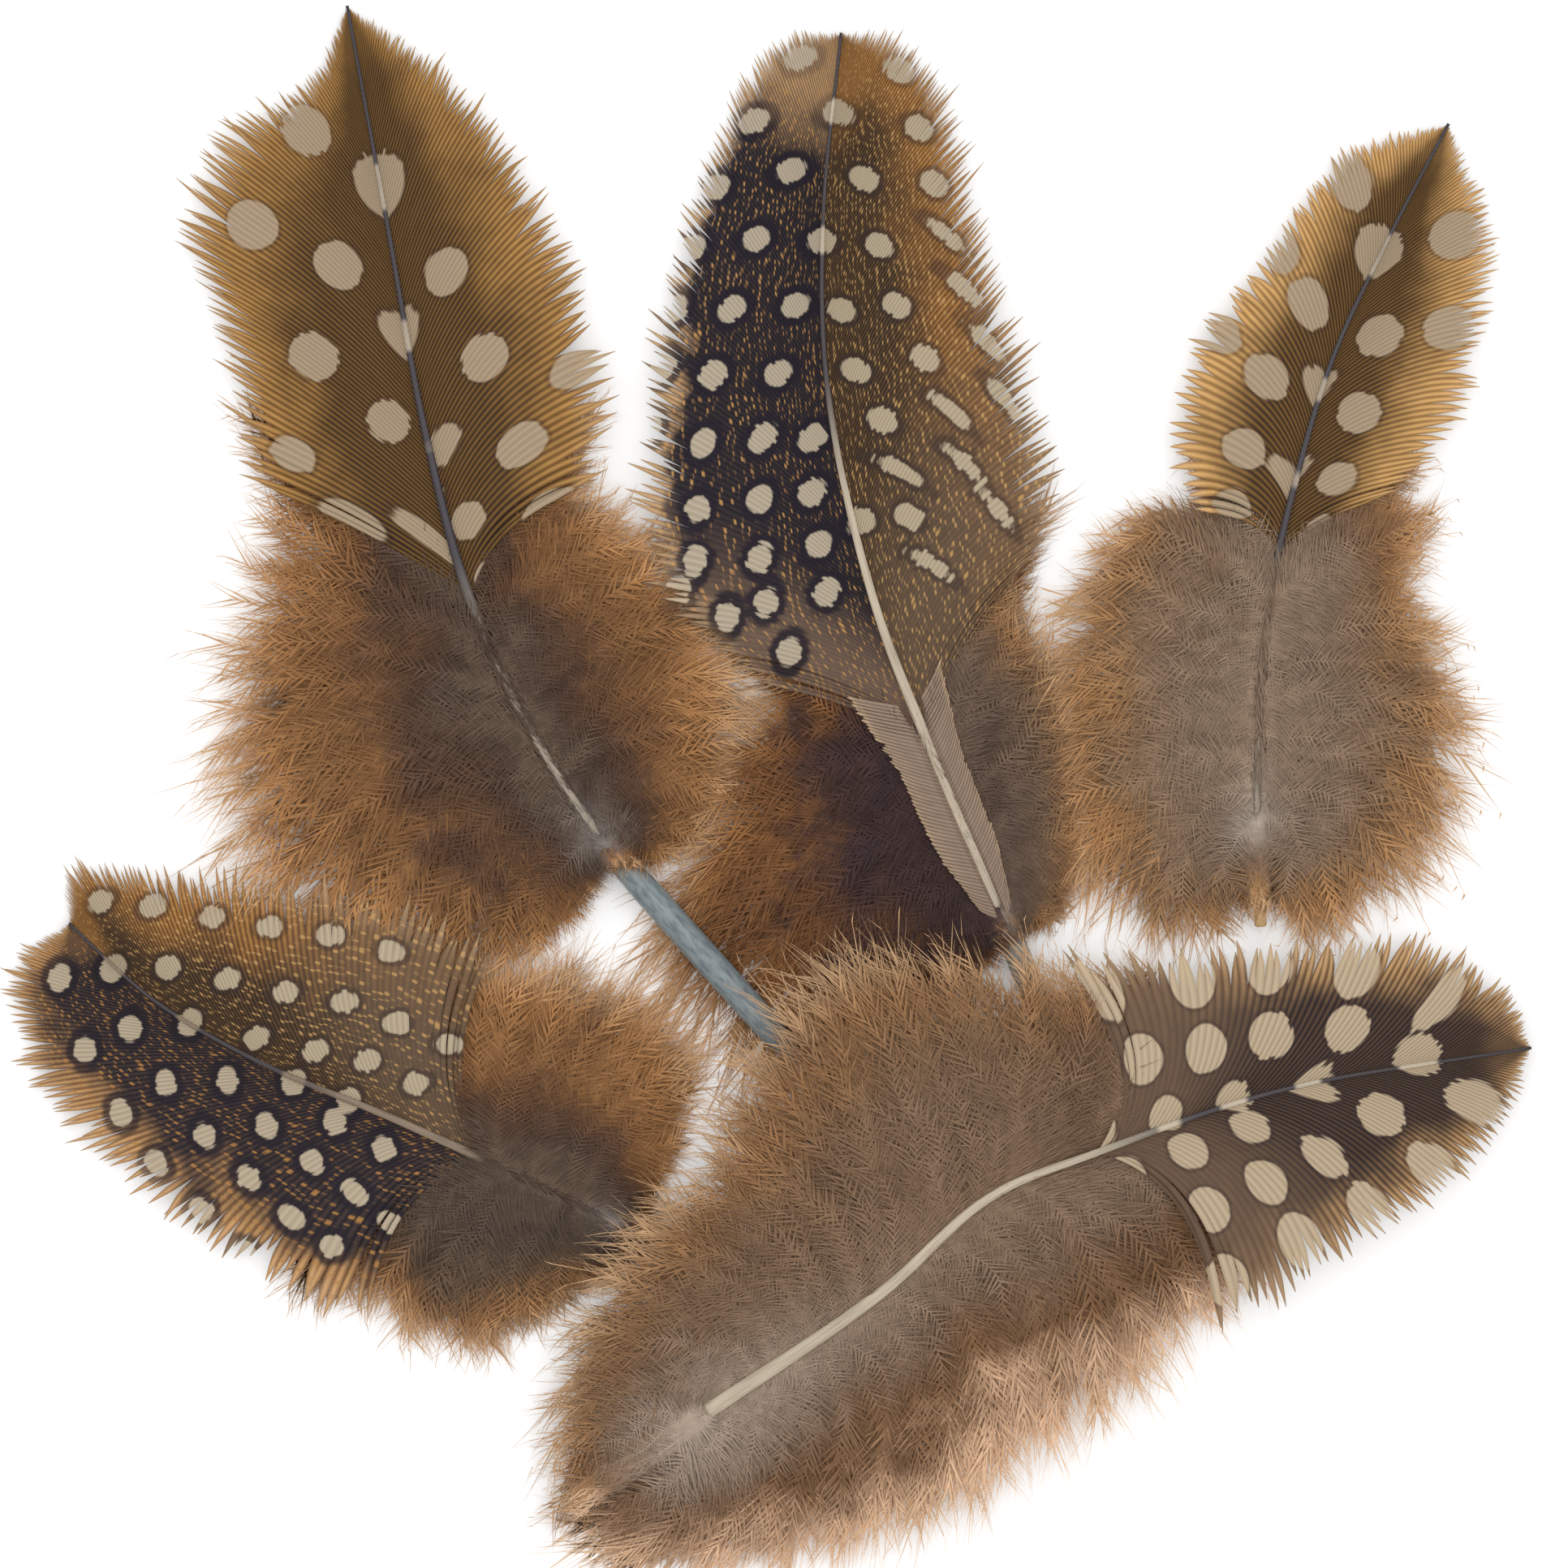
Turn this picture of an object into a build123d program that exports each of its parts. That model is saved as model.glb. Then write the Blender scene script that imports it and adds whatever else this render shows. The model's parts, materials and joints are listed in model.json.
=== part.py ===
"""A spread of five loose guineafowl body feathers, lying over one another on a flat surface.

The row frame has +Z up and its origin on the surface, under the middle of the spread. Every feather is
the same assembly at its own size: a hollow quill barrel with its dry pulp caps, a shaft with a pith core,
a closed vane and a downy base on each side of the shaft, and an afterfeather on its own small shaft.
"Left" and "right" are as seen from above, looking from the quill to the tip.
"""

import math
import os
from dataclasses import dataclass

from build123d import *

os.makedirs("parts", exist_ok=True)

# Driving dimensions, in millimetres.
SPREAD = 96.6  # side of the square that the five feathers are laid out in
QUILL_RADIUS = 0.9  # outside of the hollow barrel of a large feather
QUILL_WALL = 0.22
COLLAR_WALL = 0.5  # thickness of the barrel's closed upper end, which the shaft stands on
QUILL_POINT = 3.0  # length of the tapered end of the barrel
NAVEL_RADIUS = 0.16  # the small hole in the barrel's end
SHAFT_HALF = 0.5  # half the width and height of the shaft at the collar
SHAFT_TIP_HALF = 0.1
SHAFT_CORTEX = 0.12  # wall of horn around the pith
PITH_TIP_HALF = 0.04
SOLID_TIP = 8.0  # length of the shaft's end that has no pith
AFTERSHAFT_RADIUS = 0.24
AFTERSHAFT_TIP_RADIUS = 0.12
VANE_THICKNESS = 0.3
DOWN_COVER = 0.1  # down above and below the barrel
SOFT_GAP = 0.3  # between a feather and what lies on it
PULP_CAPS = 4
PULP_CAP = 0.12  # their thickness

DRAWN_SPREAD = 96.6  # the square that the outlines below are drawn in
LAYOUT = SPREAD / DRAWN_SPREAD
DOWN_HALF = QUILL_RADIUS + DOWN_COVER
LAID_HEIGHT = DOWN_HALF + 0.5  # a shaft's height where its down lies on the surface
PROPPED_HEIGHT = LAID_HEIGHT + 2 * DOWN_HALF + SOFT_GAP  # and where it lies over another feather
LOW_END = QUILL_RADIUS + 0.05  # and at a quill's end that lies on the surface, under another feather
TIP_HEIGHT = 0.9
TALL = 20.0  # taller than any feather
WIDE = 120.0  # wider than any feather


@dataclass
class Feather:
    """One feather, drawn from above in millimetres.

    shaft runs from the collar to the tip, and vane_from is the point of it where the closed vane starts.
    Each side has the vane's edge from the tip to its lowest corner, and the down's edge from there back
    to the collar. heights are the shaft's at the quill's end, half way and at the tip. afterfeather is
    the middle, the two radii and the turn of the oval patch of down under the base.
    """

    name: str
    size: float
    quill_end: tuple
    shaft: list
    vane_from: int
    left_vane: list
    left_down: list
    right_vane: list
    right_down: list
    heights: tuple
    afterfeather: tuple


FEATHERS = [
    Feather(
        name="spotted_long",
        size=1.0,
        quill_end=(0.9, -17.0),
        shaft=[(-11.0, -3.7), (-15.3, 3.0), (-19.4, 11.5), (-22.2, 22.0), (-24.4, 34.0), (-27.0, 48.0)],
        vane_from=2,
        left_vane=[(-29.4, 43.4), (-33.8, 41.0), (-37.2, 34.5), (-34.8, 28.0), (-33.2, 18.5)],
        left_down=[(-34.0, 9.0), (-33.6, 0.5), (-29.0, -5.0), (-18.5, -6.6)],
        right_vane=[(-19.8, 43.2), (-14.6, 36.0), (-11.2, 27.0), (-11.8, 18.0)],
        right_down=[(-9.0, 13.2), (-5.2, 6.0), (-5.6, -1.2), (-8.0, -3.4)],
        heights=(LOW_END + 0.3, LAID_HEIGHT + 0.5, TIP_HEIGHT),
        afterfeather=((-22.5, 3.0), 9.5, 6.5, 125.0),
    ),
    Feather(
        name="speckled_long",
        size=0.9,
        quill_end=(16.7, -16.7),
        shaft=[(13.4, -8.2), (8.9, 2.2), (5.2, 12.0), (2.6, 24.0), (2.3, 35.0), (3.4, 46.3)],
        vane_from=1,
        left_vane=[(-2.2, 42.8), (-7.0, 33.4), (-8.9, 21.3), (-7.4, 11.8), (-2.6, 6.6)],
        left_down=[(-3.4, 0.0), (-2.0, -9.0), (4.5, -10.4), (10.8, -10.0)],
        right_vane=[(9.4, 43.2), (12.2, 34.0), (15.0, 23.5), (16.6, 16.6), (13.4, 12.4)],
        right_down=[(16.4, 7.4), (18.2, -0.8), (17.6, -7.0), (15.6, -8.6)],
        heights=(LOW_END, LAID_HEIGHT + 0.5, TIP_HEIGHT),
        afterfeather=((4.6, -3.4), 5.6, 4.6, 100.0),
    ),
    Feather(
        name="spotted_small",
        size=0.72,
        quill_end=(29.4, -8.7),
        shaft=[(29.1, -2.4), (29.4, 7.0), (30.4, 14.0), (33.4, 25.0), (37.0, 33.0), (41.0, 40.6)],
        vane_from=2,
        left_vane=[(34.6, 38.8), (29.6, 32.4), (25.2, 27.0), (24.0, 21.0), (25.8, 16.6)],
        left_down=[(20.6, 14.4), (20.2, 5.0), (21.2, -4.8), (26.4, -8.2)],
        right_vane=[(43.4, 34.6), (43.0, 27.0), (40.6, 21.0), (37.0, 17.4)],
        right_down=[(38.6, 12.6), (41.6, 3.0), (39.2, -4.0), (32.6, -8.0)],
        heights=(LAID_HEIGHT, LAID_HEIGHT + 0.5, TIP_HEIGHT),
        afterfeather=((30.2, 2.0), 8.0, 6.0, 90.0),
    ),
    Feather(
        name="spotted_broad",
        size=1.0,
        quill_end=(-13.2, -44.2),
        shaft=[(-5.2, -38.6), (5.6, -31.2), (12.4, -25.2), (19.2, -22.3), (31.0, -18.4), (46.0, -16.0)],
        vane_from=3,
        left_vane=[(44.4, -12.4), (38.0, -9.4), (27.0, -10.0), (16.8, -10.6)],
        left_down=[(6.6, -12.2), (1.4, -19.6), (-6.6, -26.2), (-11.6, -34.0), (-11.4, -40.4)],
        right_vane=[(44.2, -21.2), (38.6, -26.6), (31.6, -30.4), (26.4, -33.4)],
        right_down=[(15.8, -39.2), (5.0, -44.8), (-5.0, -48.0), (-9.4, -45.4)],
        heights=(LAID_HEIGHT + 0.2, PROPPED_HEIGHT + 0.4, TIP_HEIGHT + 0.6),
        afterfeather=((-0.5, -38.8), 9.0, 4.8, 36.0),
    ),
    Feather(
        name="speckled_short",
        size=0.78,
        quill_end=(-4.8, -28.5),
        shaft=[(-10.4, -26.8), (-18.2, -23.0), (-24.6, -20.1), (-32.0, -17.0), (-38.6, -13.2), (-44.0, -8.4)],
        vane_from=1,
        left_vane=[(-47.8, -11.2), (-46.2, -18.0), (-40.8, -23.8), (-33.2, -29.8), (-25.6, -32.8)],
        left_down=[(-20.0, -34.0), (-14.0, -31.8)],
        right_vane=[(-38.6, -6.8), (-30.6, -8.4), (-23.4, -9.4), (-18.0, -11.6)],
        right_down=[(-11.0, -14.6), (-8.2, -20.4), (-9.0, -24.8)],
        heights=(LOW_END - 0.2, LAID_HEIGHT + 0.2, TIP_HEIGHT),
        afterfeather=((-17.6, -21.8), 6.4, 6.0, 155.0),
    ),
]


def laid(point):
    """A drawn point at the size of the layout."""
    return Vector(point[0] * LAYOUT, point[1] * LAYOUT)


class Bow:
    """The circular bow of a feather's shaft, seen from the side, over the line from quill to tip."""

    def __init__(self, feather):
        self.base = laid(feather.quill_end)
        tip = laid(feather.shaft[-1])
        self.span = (tip - self.base).length
        self.along = (tip - self.base).normalized()
        self.turn = math.degrees(math.atan2(self.along.Y, self.along.X))
        self.heights = feather.heights

    def arc(self, at_base, at_tip):
        """Radius and centre of the arc that runs at_base above the shaft's quill end and at_tip above its tip."""
        low, middle, high = self.heights
        low += at_base
        middle += (at_base + at_tip) / 2
        high += at_tip
        rise = middle - (low + high) / 2
        radius = ((self.span / 2) ** 2 + rise**2) / (2 * rise)
        centre_x = self.span / 2 + (high - low) / self.span * radius
        return radius, centre_x, low - math.sqrt(radius**2 - centre_x**2)

    def height(self, point):
        """The shaft's height over a point."""
        radius, centre_x, centre_z = self.arc(0, 0)
        x = (point - self.base).dot(self.along)
        return centre_z + math.sqrt(radius**2 - (x - centre_x) ** 2)

    def lifted(self, point):
        """A point, raised to the shaft's height."""
        return Vector(point.X, point.Y, self.height(point))

    def drum(self, at_base, at_tip):
        """Everything under the bowed surface that lies at_base to at_tip above the shaft."""
        radius, centre_x, centre_z = self.arc(at_base, at_tip)
        placed = Location((self.base.X, self.base.Y, 0), (0, 0, self.turn))
        lying = Location((centre_x, 0, centre_z), (90, 0, 0))
        return placed * lying * Cylinder(radius, WIDE)

    def band(self, at_base, at_tip):
        """The bowed layer from below the shaft to above it."""
        return self.drum(at_base, at_tip) - self.drum(-at_base, -at_tip)


def prism(*edges):
    """The tall upright solid over a closed outline."""
    return extrude(make_face(Wire(edges)), TALL)


def edge_points(feather, aside, base_half, tip_half):
    """Points of the left (aside 1) or right (aside -1) edge of the shaft or its pith, seen from above."""
    points = [laid(p) for p in feather.shaft]
    last = len(points) - 1
    edge = []
    for i, point in enumerate(points):
        along = points[min(i + 1, last)] - points[max(i - 1, 0)]
        normal = Vector(-along.Y, along.X).normalized()
        half = base_half + (tip_half - base_half) * i / last
        edge.append(point + normal * half * aside)
    return edge


def tapered(feather, bow, base_half, tip_half):
    """The square bar along the shaft's line that tapers from the collar to the tip."""
    left = Spline(edge_points(feather, 1, base_half, tip_half))
    right = Spline(edge_points(feather, -1, base_half, tip_half))
    strip = prism(left, Line(left @ 1, right @ 1), right, Line(right @ 0, left @ 0))
    return strip & bow.band(base_half, tip_half)


def quill_axis(feather, bow):
    """The quill's end and its collar, as points of the straight axis of the barrel."""
    return bow.lifted(laid(feather.quill_end)), bow.lifted(laid(feather.shaft[0]))


def turned(*outline):
    """The solid of revolution of a closed outline of (radius, height) points."""
    return revolve(Plane.XZ * make_face(Polyline(*outline, close=True)), Axis.Z)


def quill(feather, bow, hollow=True):
    """The barrel: a straight tube with a tapered lower end, in which there is a small hole."""
    end, collar = quill_axis(feather, bow)
    length = (collar - end).length
    radius = QUILL_RADIUS * feather.size
    point = min(QUILL_POINT * feather.size, 0.4 * length)
    barrel = turned((0, 0), (NAVEL_RADIUS + QUILL_WALL, 0), (radius, point), (radius, length), (0, length))
    if hollow:
        bore = radius - QUILL_WALL
        top = length - COLLAR_WALL
        barrel -= turned((0, -1), (NAVEL_RADIUS, -1), (NAVEL_RADIUS, 0), (bore, point), (bore, top), (0, top))
    return Plane(origin=end, z_dir=collar - end).location * barrel


def pulp_caps(feather, bow):
    """The dry cup-shaped membranes that cross the barrel's hollow."""
    end, collar = quill_axis(feather, bow)
    length = (collar - end).length - COLLAR_WALL
    radius = QUILL_RADIUS * feather.size - QUILL_WALL
    start = min(QUILL_POINT * feather.size, 0.4 * length)
    pitch = (length - start) / (PULP_CAPS + 1)
    placed = Plane(origin=end, z_dir=collar - end).location
    caps = [placed * Pos(0, 0, start + pitch * (i + 1)) * Cylinder(radius, PULP_CAP) for i in range(PULP_CAPS)]
    return Compound(caps)


def aftershaft(feather, bow):
    """The small shaft under the base, which leaves the collar and runs into the afterfeather."""
    _, collar = quill_axis(feather, bow)
    middle = laid(feather.afterfeather[0])
    start = collar - Vector(0, 0, QUILL_RADIUS * feather.size)
    end = Vector(middle.X, middle.Y, AFTERSHAFT_RADIUS)
    run = end - start
    rod = Pos(0, 0, run.length / 2) * Cone(AFTERSHAFT_RADIUS, AFTERSHAFT_TIP_RADIUS, run.length)
    return Plane(origin=start, z_dir=run).location * rod


def side(feather, bow, aside):
    """One side's closed vane and its downy base."""
    vane_points = feather.left_vane if aside > 0 else feather.right_vane
    down_points = feather.left_down if aside > 0 else feather.right_down
    points = edge_points(feather, aside, SHAFT_HALF * feather.size, SHAFT_TIP_HALF)
    whole = Spline(points)
    split = whole.param_at_point(points[feather.vane_from])
    base = whole.trim(0, split)
    upper = whole.trim(split, 1)
    corner = laid(vane_points[-1])
    border = Line(upper @ 0, corner)
    vane = prism(upper, Spline([upper @ 1, *map(laid, vane_points)]), border)
    down = prism(base, border, Spline([corner, *map(laid, down_points), base @ 0]))
    vane &= bow.band(VANE_THICKNESS / 2, VANE_THICKNESS / 2)
    down &= bow.band(DOWN_HALF, DOWN_HALF)
    return vane, down


def afterfeather(feather, bow):
    """The oval patch of down between the feather's base and the surface that it lies on."""
    middle, long_radius, short_radius, turn = feather.afterfeather
    place = laid(middle)
    oval = Ellipse(long_radius * LAYOUT, short_radius * LAYOUT)
    return extrude(Pos(place.X, place.Y) * Rot(0, 0, turn) * oval, TALL) & bow.drum(-DOWN_HALF, -DOWN_HALF)


def build(feather):
    """All the pieces of one feather, by node name."""
    bow = Bow(feather)
    solid_barrel = quill(feather, bow, hollow=False)
    half = SHAFT_HALF * feather.size
    shaft = tapered(feather, bow, half, SHAFT_TIP_HALF) - solid_barrel
    pith = tapered(feather, bow, half - SHAFT_CORTEX, PITH_TIP_HALF) - solid_barrel
    tip = laid(feather.shaft[-1])
    pith -= Pos(tip.X, tip.Y) * Cylinder(SOLID_TIP * feather.size, TALL)
    rod = aftershaft(feather, bow) - solid_barrel
    pieces = {
        "quill": quill(feather, bow),
        "pulp_caps": pulp_caps(feather, bow),
        "shaft": shaft - pith,
        "pith": pith,
        "aftershaft": rod,
        "afterfeather": afterfeather(feather, bow) - rod,
    }
    for name, aside in (("left", 1), ("right", -1)):
        vane, down = side(feather, bow, aside)
        pieces["vane_" + name] = vane
        pieces["down_" + name] = down - solid_barrel - rod
    return {f"{feather.name}_{piece}": solid for piece, solid in pieces.items()}


def main():
    """Builds the feathers, centres the spread over the origin and writes a STEP for each piece."""
    nodes = {}
    for feather in FEATHERS:
        nodes |= build(feather)
    boxes = [solid.bounding_box() for solid in nodes.values()]
    middle_x = (min(b.min.X for b in boxes) + max(b.max.X for b in boxes)) / 2
    middle_y = (min(b.min.Y for b in boxes) + max(b.max.Y for b in boxes)) / 2
    print("moved by", round(-middle_x, 3), round(-middle_y, 3))
    for name, solid in nodes.items():
        export_step(Pos(-middle_x, -middle_y, 0) * solid, f"parts/{name}.step")


main()
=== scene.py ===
"""The looks of a spread of five loose guineafowl feathers that lie over one another on a pale floor.

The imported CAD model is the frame. Every barb of the closed vanes and every strand of the down is its own
strip of mesh here, laid along the same shafts and inside the same outlines as the CAD solids that it
replaces. Sizes are in millimetres until a mesh is written, and "left" and "right" are as seen from above,
looking from the quill to the tip.
"""

from __future__ import annotations

import json
import logging
import math
from dataclasses import dataclass, field, replace
from enum import Enum
from functools import partial
from typing import Any, Callable, Sequence

import bmesh
import bpy
import numpy as np
from mathutils import Matrix, Vector

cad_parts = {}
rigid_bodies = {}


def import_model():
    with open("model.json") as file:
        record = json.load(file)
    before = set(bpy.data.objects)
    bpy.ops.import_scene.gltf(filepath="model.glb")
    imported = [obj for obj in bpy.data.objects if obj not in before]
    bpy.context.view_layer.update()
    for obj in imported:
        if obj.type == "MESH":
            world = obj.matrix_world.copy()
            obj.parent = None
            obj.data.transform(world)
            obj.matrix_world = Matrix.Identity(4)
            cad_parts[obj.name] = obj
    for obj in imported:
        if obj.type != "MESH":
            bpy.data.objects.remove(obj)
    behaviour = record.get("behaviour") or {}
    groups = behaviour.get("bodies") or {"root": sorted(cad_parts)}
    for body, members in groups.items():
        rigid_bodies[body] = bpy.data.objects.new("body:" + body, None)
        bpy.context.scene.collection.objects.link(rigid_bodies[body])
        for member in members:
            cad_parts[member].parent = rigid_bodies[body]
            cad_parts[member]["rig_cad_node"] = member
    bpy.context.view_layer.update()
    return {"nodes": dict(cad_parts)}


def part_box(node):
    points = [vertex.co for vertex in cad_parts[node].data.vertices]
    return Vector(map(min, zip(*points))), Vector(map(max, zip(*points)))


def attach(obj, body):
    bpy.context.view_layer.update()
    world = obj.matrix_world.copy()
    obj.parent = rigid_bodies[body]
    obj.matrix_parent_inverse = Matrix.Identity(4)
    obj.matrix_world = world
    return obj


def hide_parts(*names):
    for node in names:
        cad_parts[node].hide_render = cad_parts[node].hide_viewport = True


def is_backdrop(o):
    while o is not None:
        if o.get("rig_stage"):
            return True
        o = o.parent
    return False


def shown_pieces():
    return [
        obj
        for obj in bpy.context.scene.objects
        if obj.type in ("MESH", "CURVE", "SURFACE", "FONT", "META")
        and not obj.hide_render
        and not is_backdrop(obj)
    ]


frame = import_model()

log = logging.getLogger("spread")

MM = 0.001
RGB = tuple[int, int, int]
Point = tuple[float, float]
Point3 = tuple[float, float, float]
Array = np.ndarray
Mesh = bpy.types.Mesh
Material = bpy.types.Material
Node = bpy.types.Node
NodeTree = bpy.types.NodeTree
Socket = bpy.types.NodeSocket

# Sizes that all five feathers share, in millimetres, as in the CAD model.
QUILL_RADIUS = 0.9
QUILL_WALL = 0.22
COLLAR_WALL = 0.5
QUILL_POINT = 3.0
NAVEL_RADIUS = 0.16
SHAFT_HALF = 0.5
SHAFT_TIP_HALF = 0.1
SHAFT_CORTEX = 0.12
LAID_HEIGHT = 1.5
PROPPED_HEIGHT = 3.8
LOW_END = 0.95
TIP_HEIGHT = 0.9

# How fine the strips are.
BARB_PITCH = 0.35
BARB_STEPS = 40
RIB_HEIGHT = 0.05
LINE_STEPS = 40
PLUME_STEPS = 56
PLUME_KINDS = 5
BARBULE_LEAN = 0.075
SHAFT_RINGS = 110

# Heights and distances, in millimetres.
FLOOR_DROP = 0.02
LOWEST_BARB = 0.06
LOWEST_STRAND = 0.05
LOWEST_UNDERDOWN = 0.03
BARREL_GAP = 0.12
FAR_FROM_SPOTS = 9.0

# How loose down and barbs part, as shares and millimetres.
CLUMP_CHANCE = 0.14
PARTING_FROM = 0.78
SHORTEST_BARB = 0.72
SINK_FROM = 0.84
LAST_BARB = 0.985
STRANDS = 350
USUAL_DROOP = 0.9
USUAL_VEIL = 14.0
UNDER_GAP = 0.6
DROOP_SHARE = 0.45
LAYER_REACH = (1.0, 0.94, 0.68)
LAYER_REST = (-0.35, 0.15, 0.8)
DOWN_REACH = 1.03

# How barbs and strands look.
SPOT_SOFTNESS = 0.07
SPECKLE_PITCH = 0.62
CLEAR_SPECULAR = 0.12
HORN_SPECULAR = 0.45
TINY = 1e-9


def linear(red: int, green: int, blue: int) -> tuple[float, float, float]:
    """A display colour, each part from 0 to 255, as the linear numbers that a shader reads."""
    shares = [part / 255 for part in (red, green, blue)]
    return tuple(c / 12.92 if c <= 0.04045 else ((c + 0.055) / 1.055) ** 2.4 for c in shares)


class Side(Enum):
    """The two sides of a shaft."""

    LEFT = 1
    RIGHT = -1


def both(left: Any, right: Any = None) -> dict[Side, Any]:
    """A value for each side, the same one where only one is given."""
    return {Side.LEFT: left, Side.RIGHT: left if right is None else right}


# ----------------------------------------
# Shader building


class Graph:
    """A node tree that is written from left to right."""

    def __init__(self, tree: NodeTree) -> None:
        """Keeps the tree.

        Args:
            tree: The material's or group's tree.
        """
        self.tree = tree

    def node(self, kind: str, **settings: Any) -> Node:
        """Adds a node and sets its properties.

        Args:
            kind: The node's type name.
            settings: Properties by name.

        Returns:
            The node.
        """
        made = self.tree.nodes.new(kind)
        for name, value in settings.items():
            setattr(made, name, value)
        return made

    def feed(self, socket: Socket, value: Any) -> None:
        """Links a socket to another, or sets its value.

        Args:
            socket: The input.
            value: An output socket, a number or a display colour.
        """
        if isinstance(value, Socket):
            self.tree.links.new(value, socket)
        elif isinstance(value, tuple) and len(value) == 3 and socket.type == "RGBA":
            socket.default_value = (*linear(*value), 1.0)
        else:
            socket.default_value = value

    @staticmethod
    def adjust(node: Node, **values: Any) -> None:
        """Sets a node's inputs by name, with underscores for spaces."""
        for name, value in values.items():
            node.inputs[name.replace("_", " ")].default_value = value

    def math(self, operation: str, *values: Any) -> Socket:
        """A Math node's result.

        Args:
            operation: Its operation.
            values: Its inputs.

        Returns:
            The output.
        """
        made = self.node("ShaderNodeMath", operation=operation)
        for socket, value in zip(made.inputs, values):
            self.feed(socket, value)
        return made.outputs[0]

    def times(self, first: Any, second: Any) -> Socket:
        """Two numbers multiplied."""
        return self.math("MULTIPLY", first, second)

    def plus(self, first: Any, second: Any) -> Socket:
        """Two numbers added."""
        return self.math("ADD", first, second)

    def fit(self, value: Any, factor: Any, offset: Any) -> Socket:
        """A number multiplied by a factor, with an offset added."""
        return self.math("MULTIPLY_ADD", value, factor, offset)

    def ramp(self, value: Any, low: Any, high: Any, start: float = 0.0, end: float = 1.0) -> Socket:
        """A smooth step from start to end while value goes from low to high.

        Args:
            value: What is mapped.
            low: Where the step begins.
            high: Where it ends.
            start: The result before it.
            end: The result after it.

        Returns:
            The output.
        """
        made = self.node("ShaderNodeMapRange", interpolation_type="SMOOTHSTEP", clamp=True)
        for socket, given in zip(made.inputs, (value, low, high, start, end)):
            self.feed(socket, given)
        return made.outputs[0]

    def mix(self, share: Any, first: Any, second: Any, how: str = "MIX") -> Socket:
        """A mix of two colours.

        Args:
            share: How much of the second there is.
            first: A colour.
            second: A colour.
            how: The blend type.

        Returns:
            The output.
        """
        made = self.node("ShaderNodeMix", data_type="RGBA", blend_type=how)
        self.feed(made.inputs[0], share)
        self.feed(made.inputs[6], first)
        self.feed(made.inputs[7], second)
        return made.outputs[2]

    def noise(self, vector: Any, scale: float, detail: float = 3.0, rough: float = 0.55) -> Socket:
        """A noise texture's value.

        Args:
            vector: Where it is read.
            scale: Its scale.
            detail: Its detail.
            rough: Its roughness.

        Returns:
            The output.
        """
        made = self.node("ShaderNodeTexNoise")
        self.feed(made.inputs["Vector"], vector)
        self.adjust(made, Scale=scale, Detail=detail, Roughness=rough)
        return made.outputs["Fac"]

    def vector(self, x: Any, y: Any, z: Any = 0.0) -> Socket:
        """Three numbers as one vector."""
        made = self.node("ShaderNodeCombineXYZ")
        for socket, value in zip(made.inputs, (x, y, z)):
            self.feed(socket, value)
        return made.outputs[0]

    def attribute(self, name: str) -> Sequence[Socket]:
        """The three numbers of a mesh attribute."""
        made = self.node("ShaderNodeAttribute", attribute_name=name)
        parts = self.node("ShaderNodeSeparateXYZ")
        self.tree.links.new(made.outputs["Vector"], parts.inputs[0])
        return parts.outputs

    def place(self) -> Socket:
        """The point on the object, in metres."""
        return self.node("ShaderNodeTexCoord").outputs["Object"]

    def use(self, group: NodeTree, **values: Any) -> Node:
        """Places a node group.

        Args:
            group: The group.
            values: Its inputs by name, with underscores for spaces.

        Returns:
            The group's node.
        """
        made = self.node("ShaderNodeGroup")
        made.node_tree = group
        for name, value in values.items():
            self.feed(made.inputs[name.replace("_", " ")], value)
        return made


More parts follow.
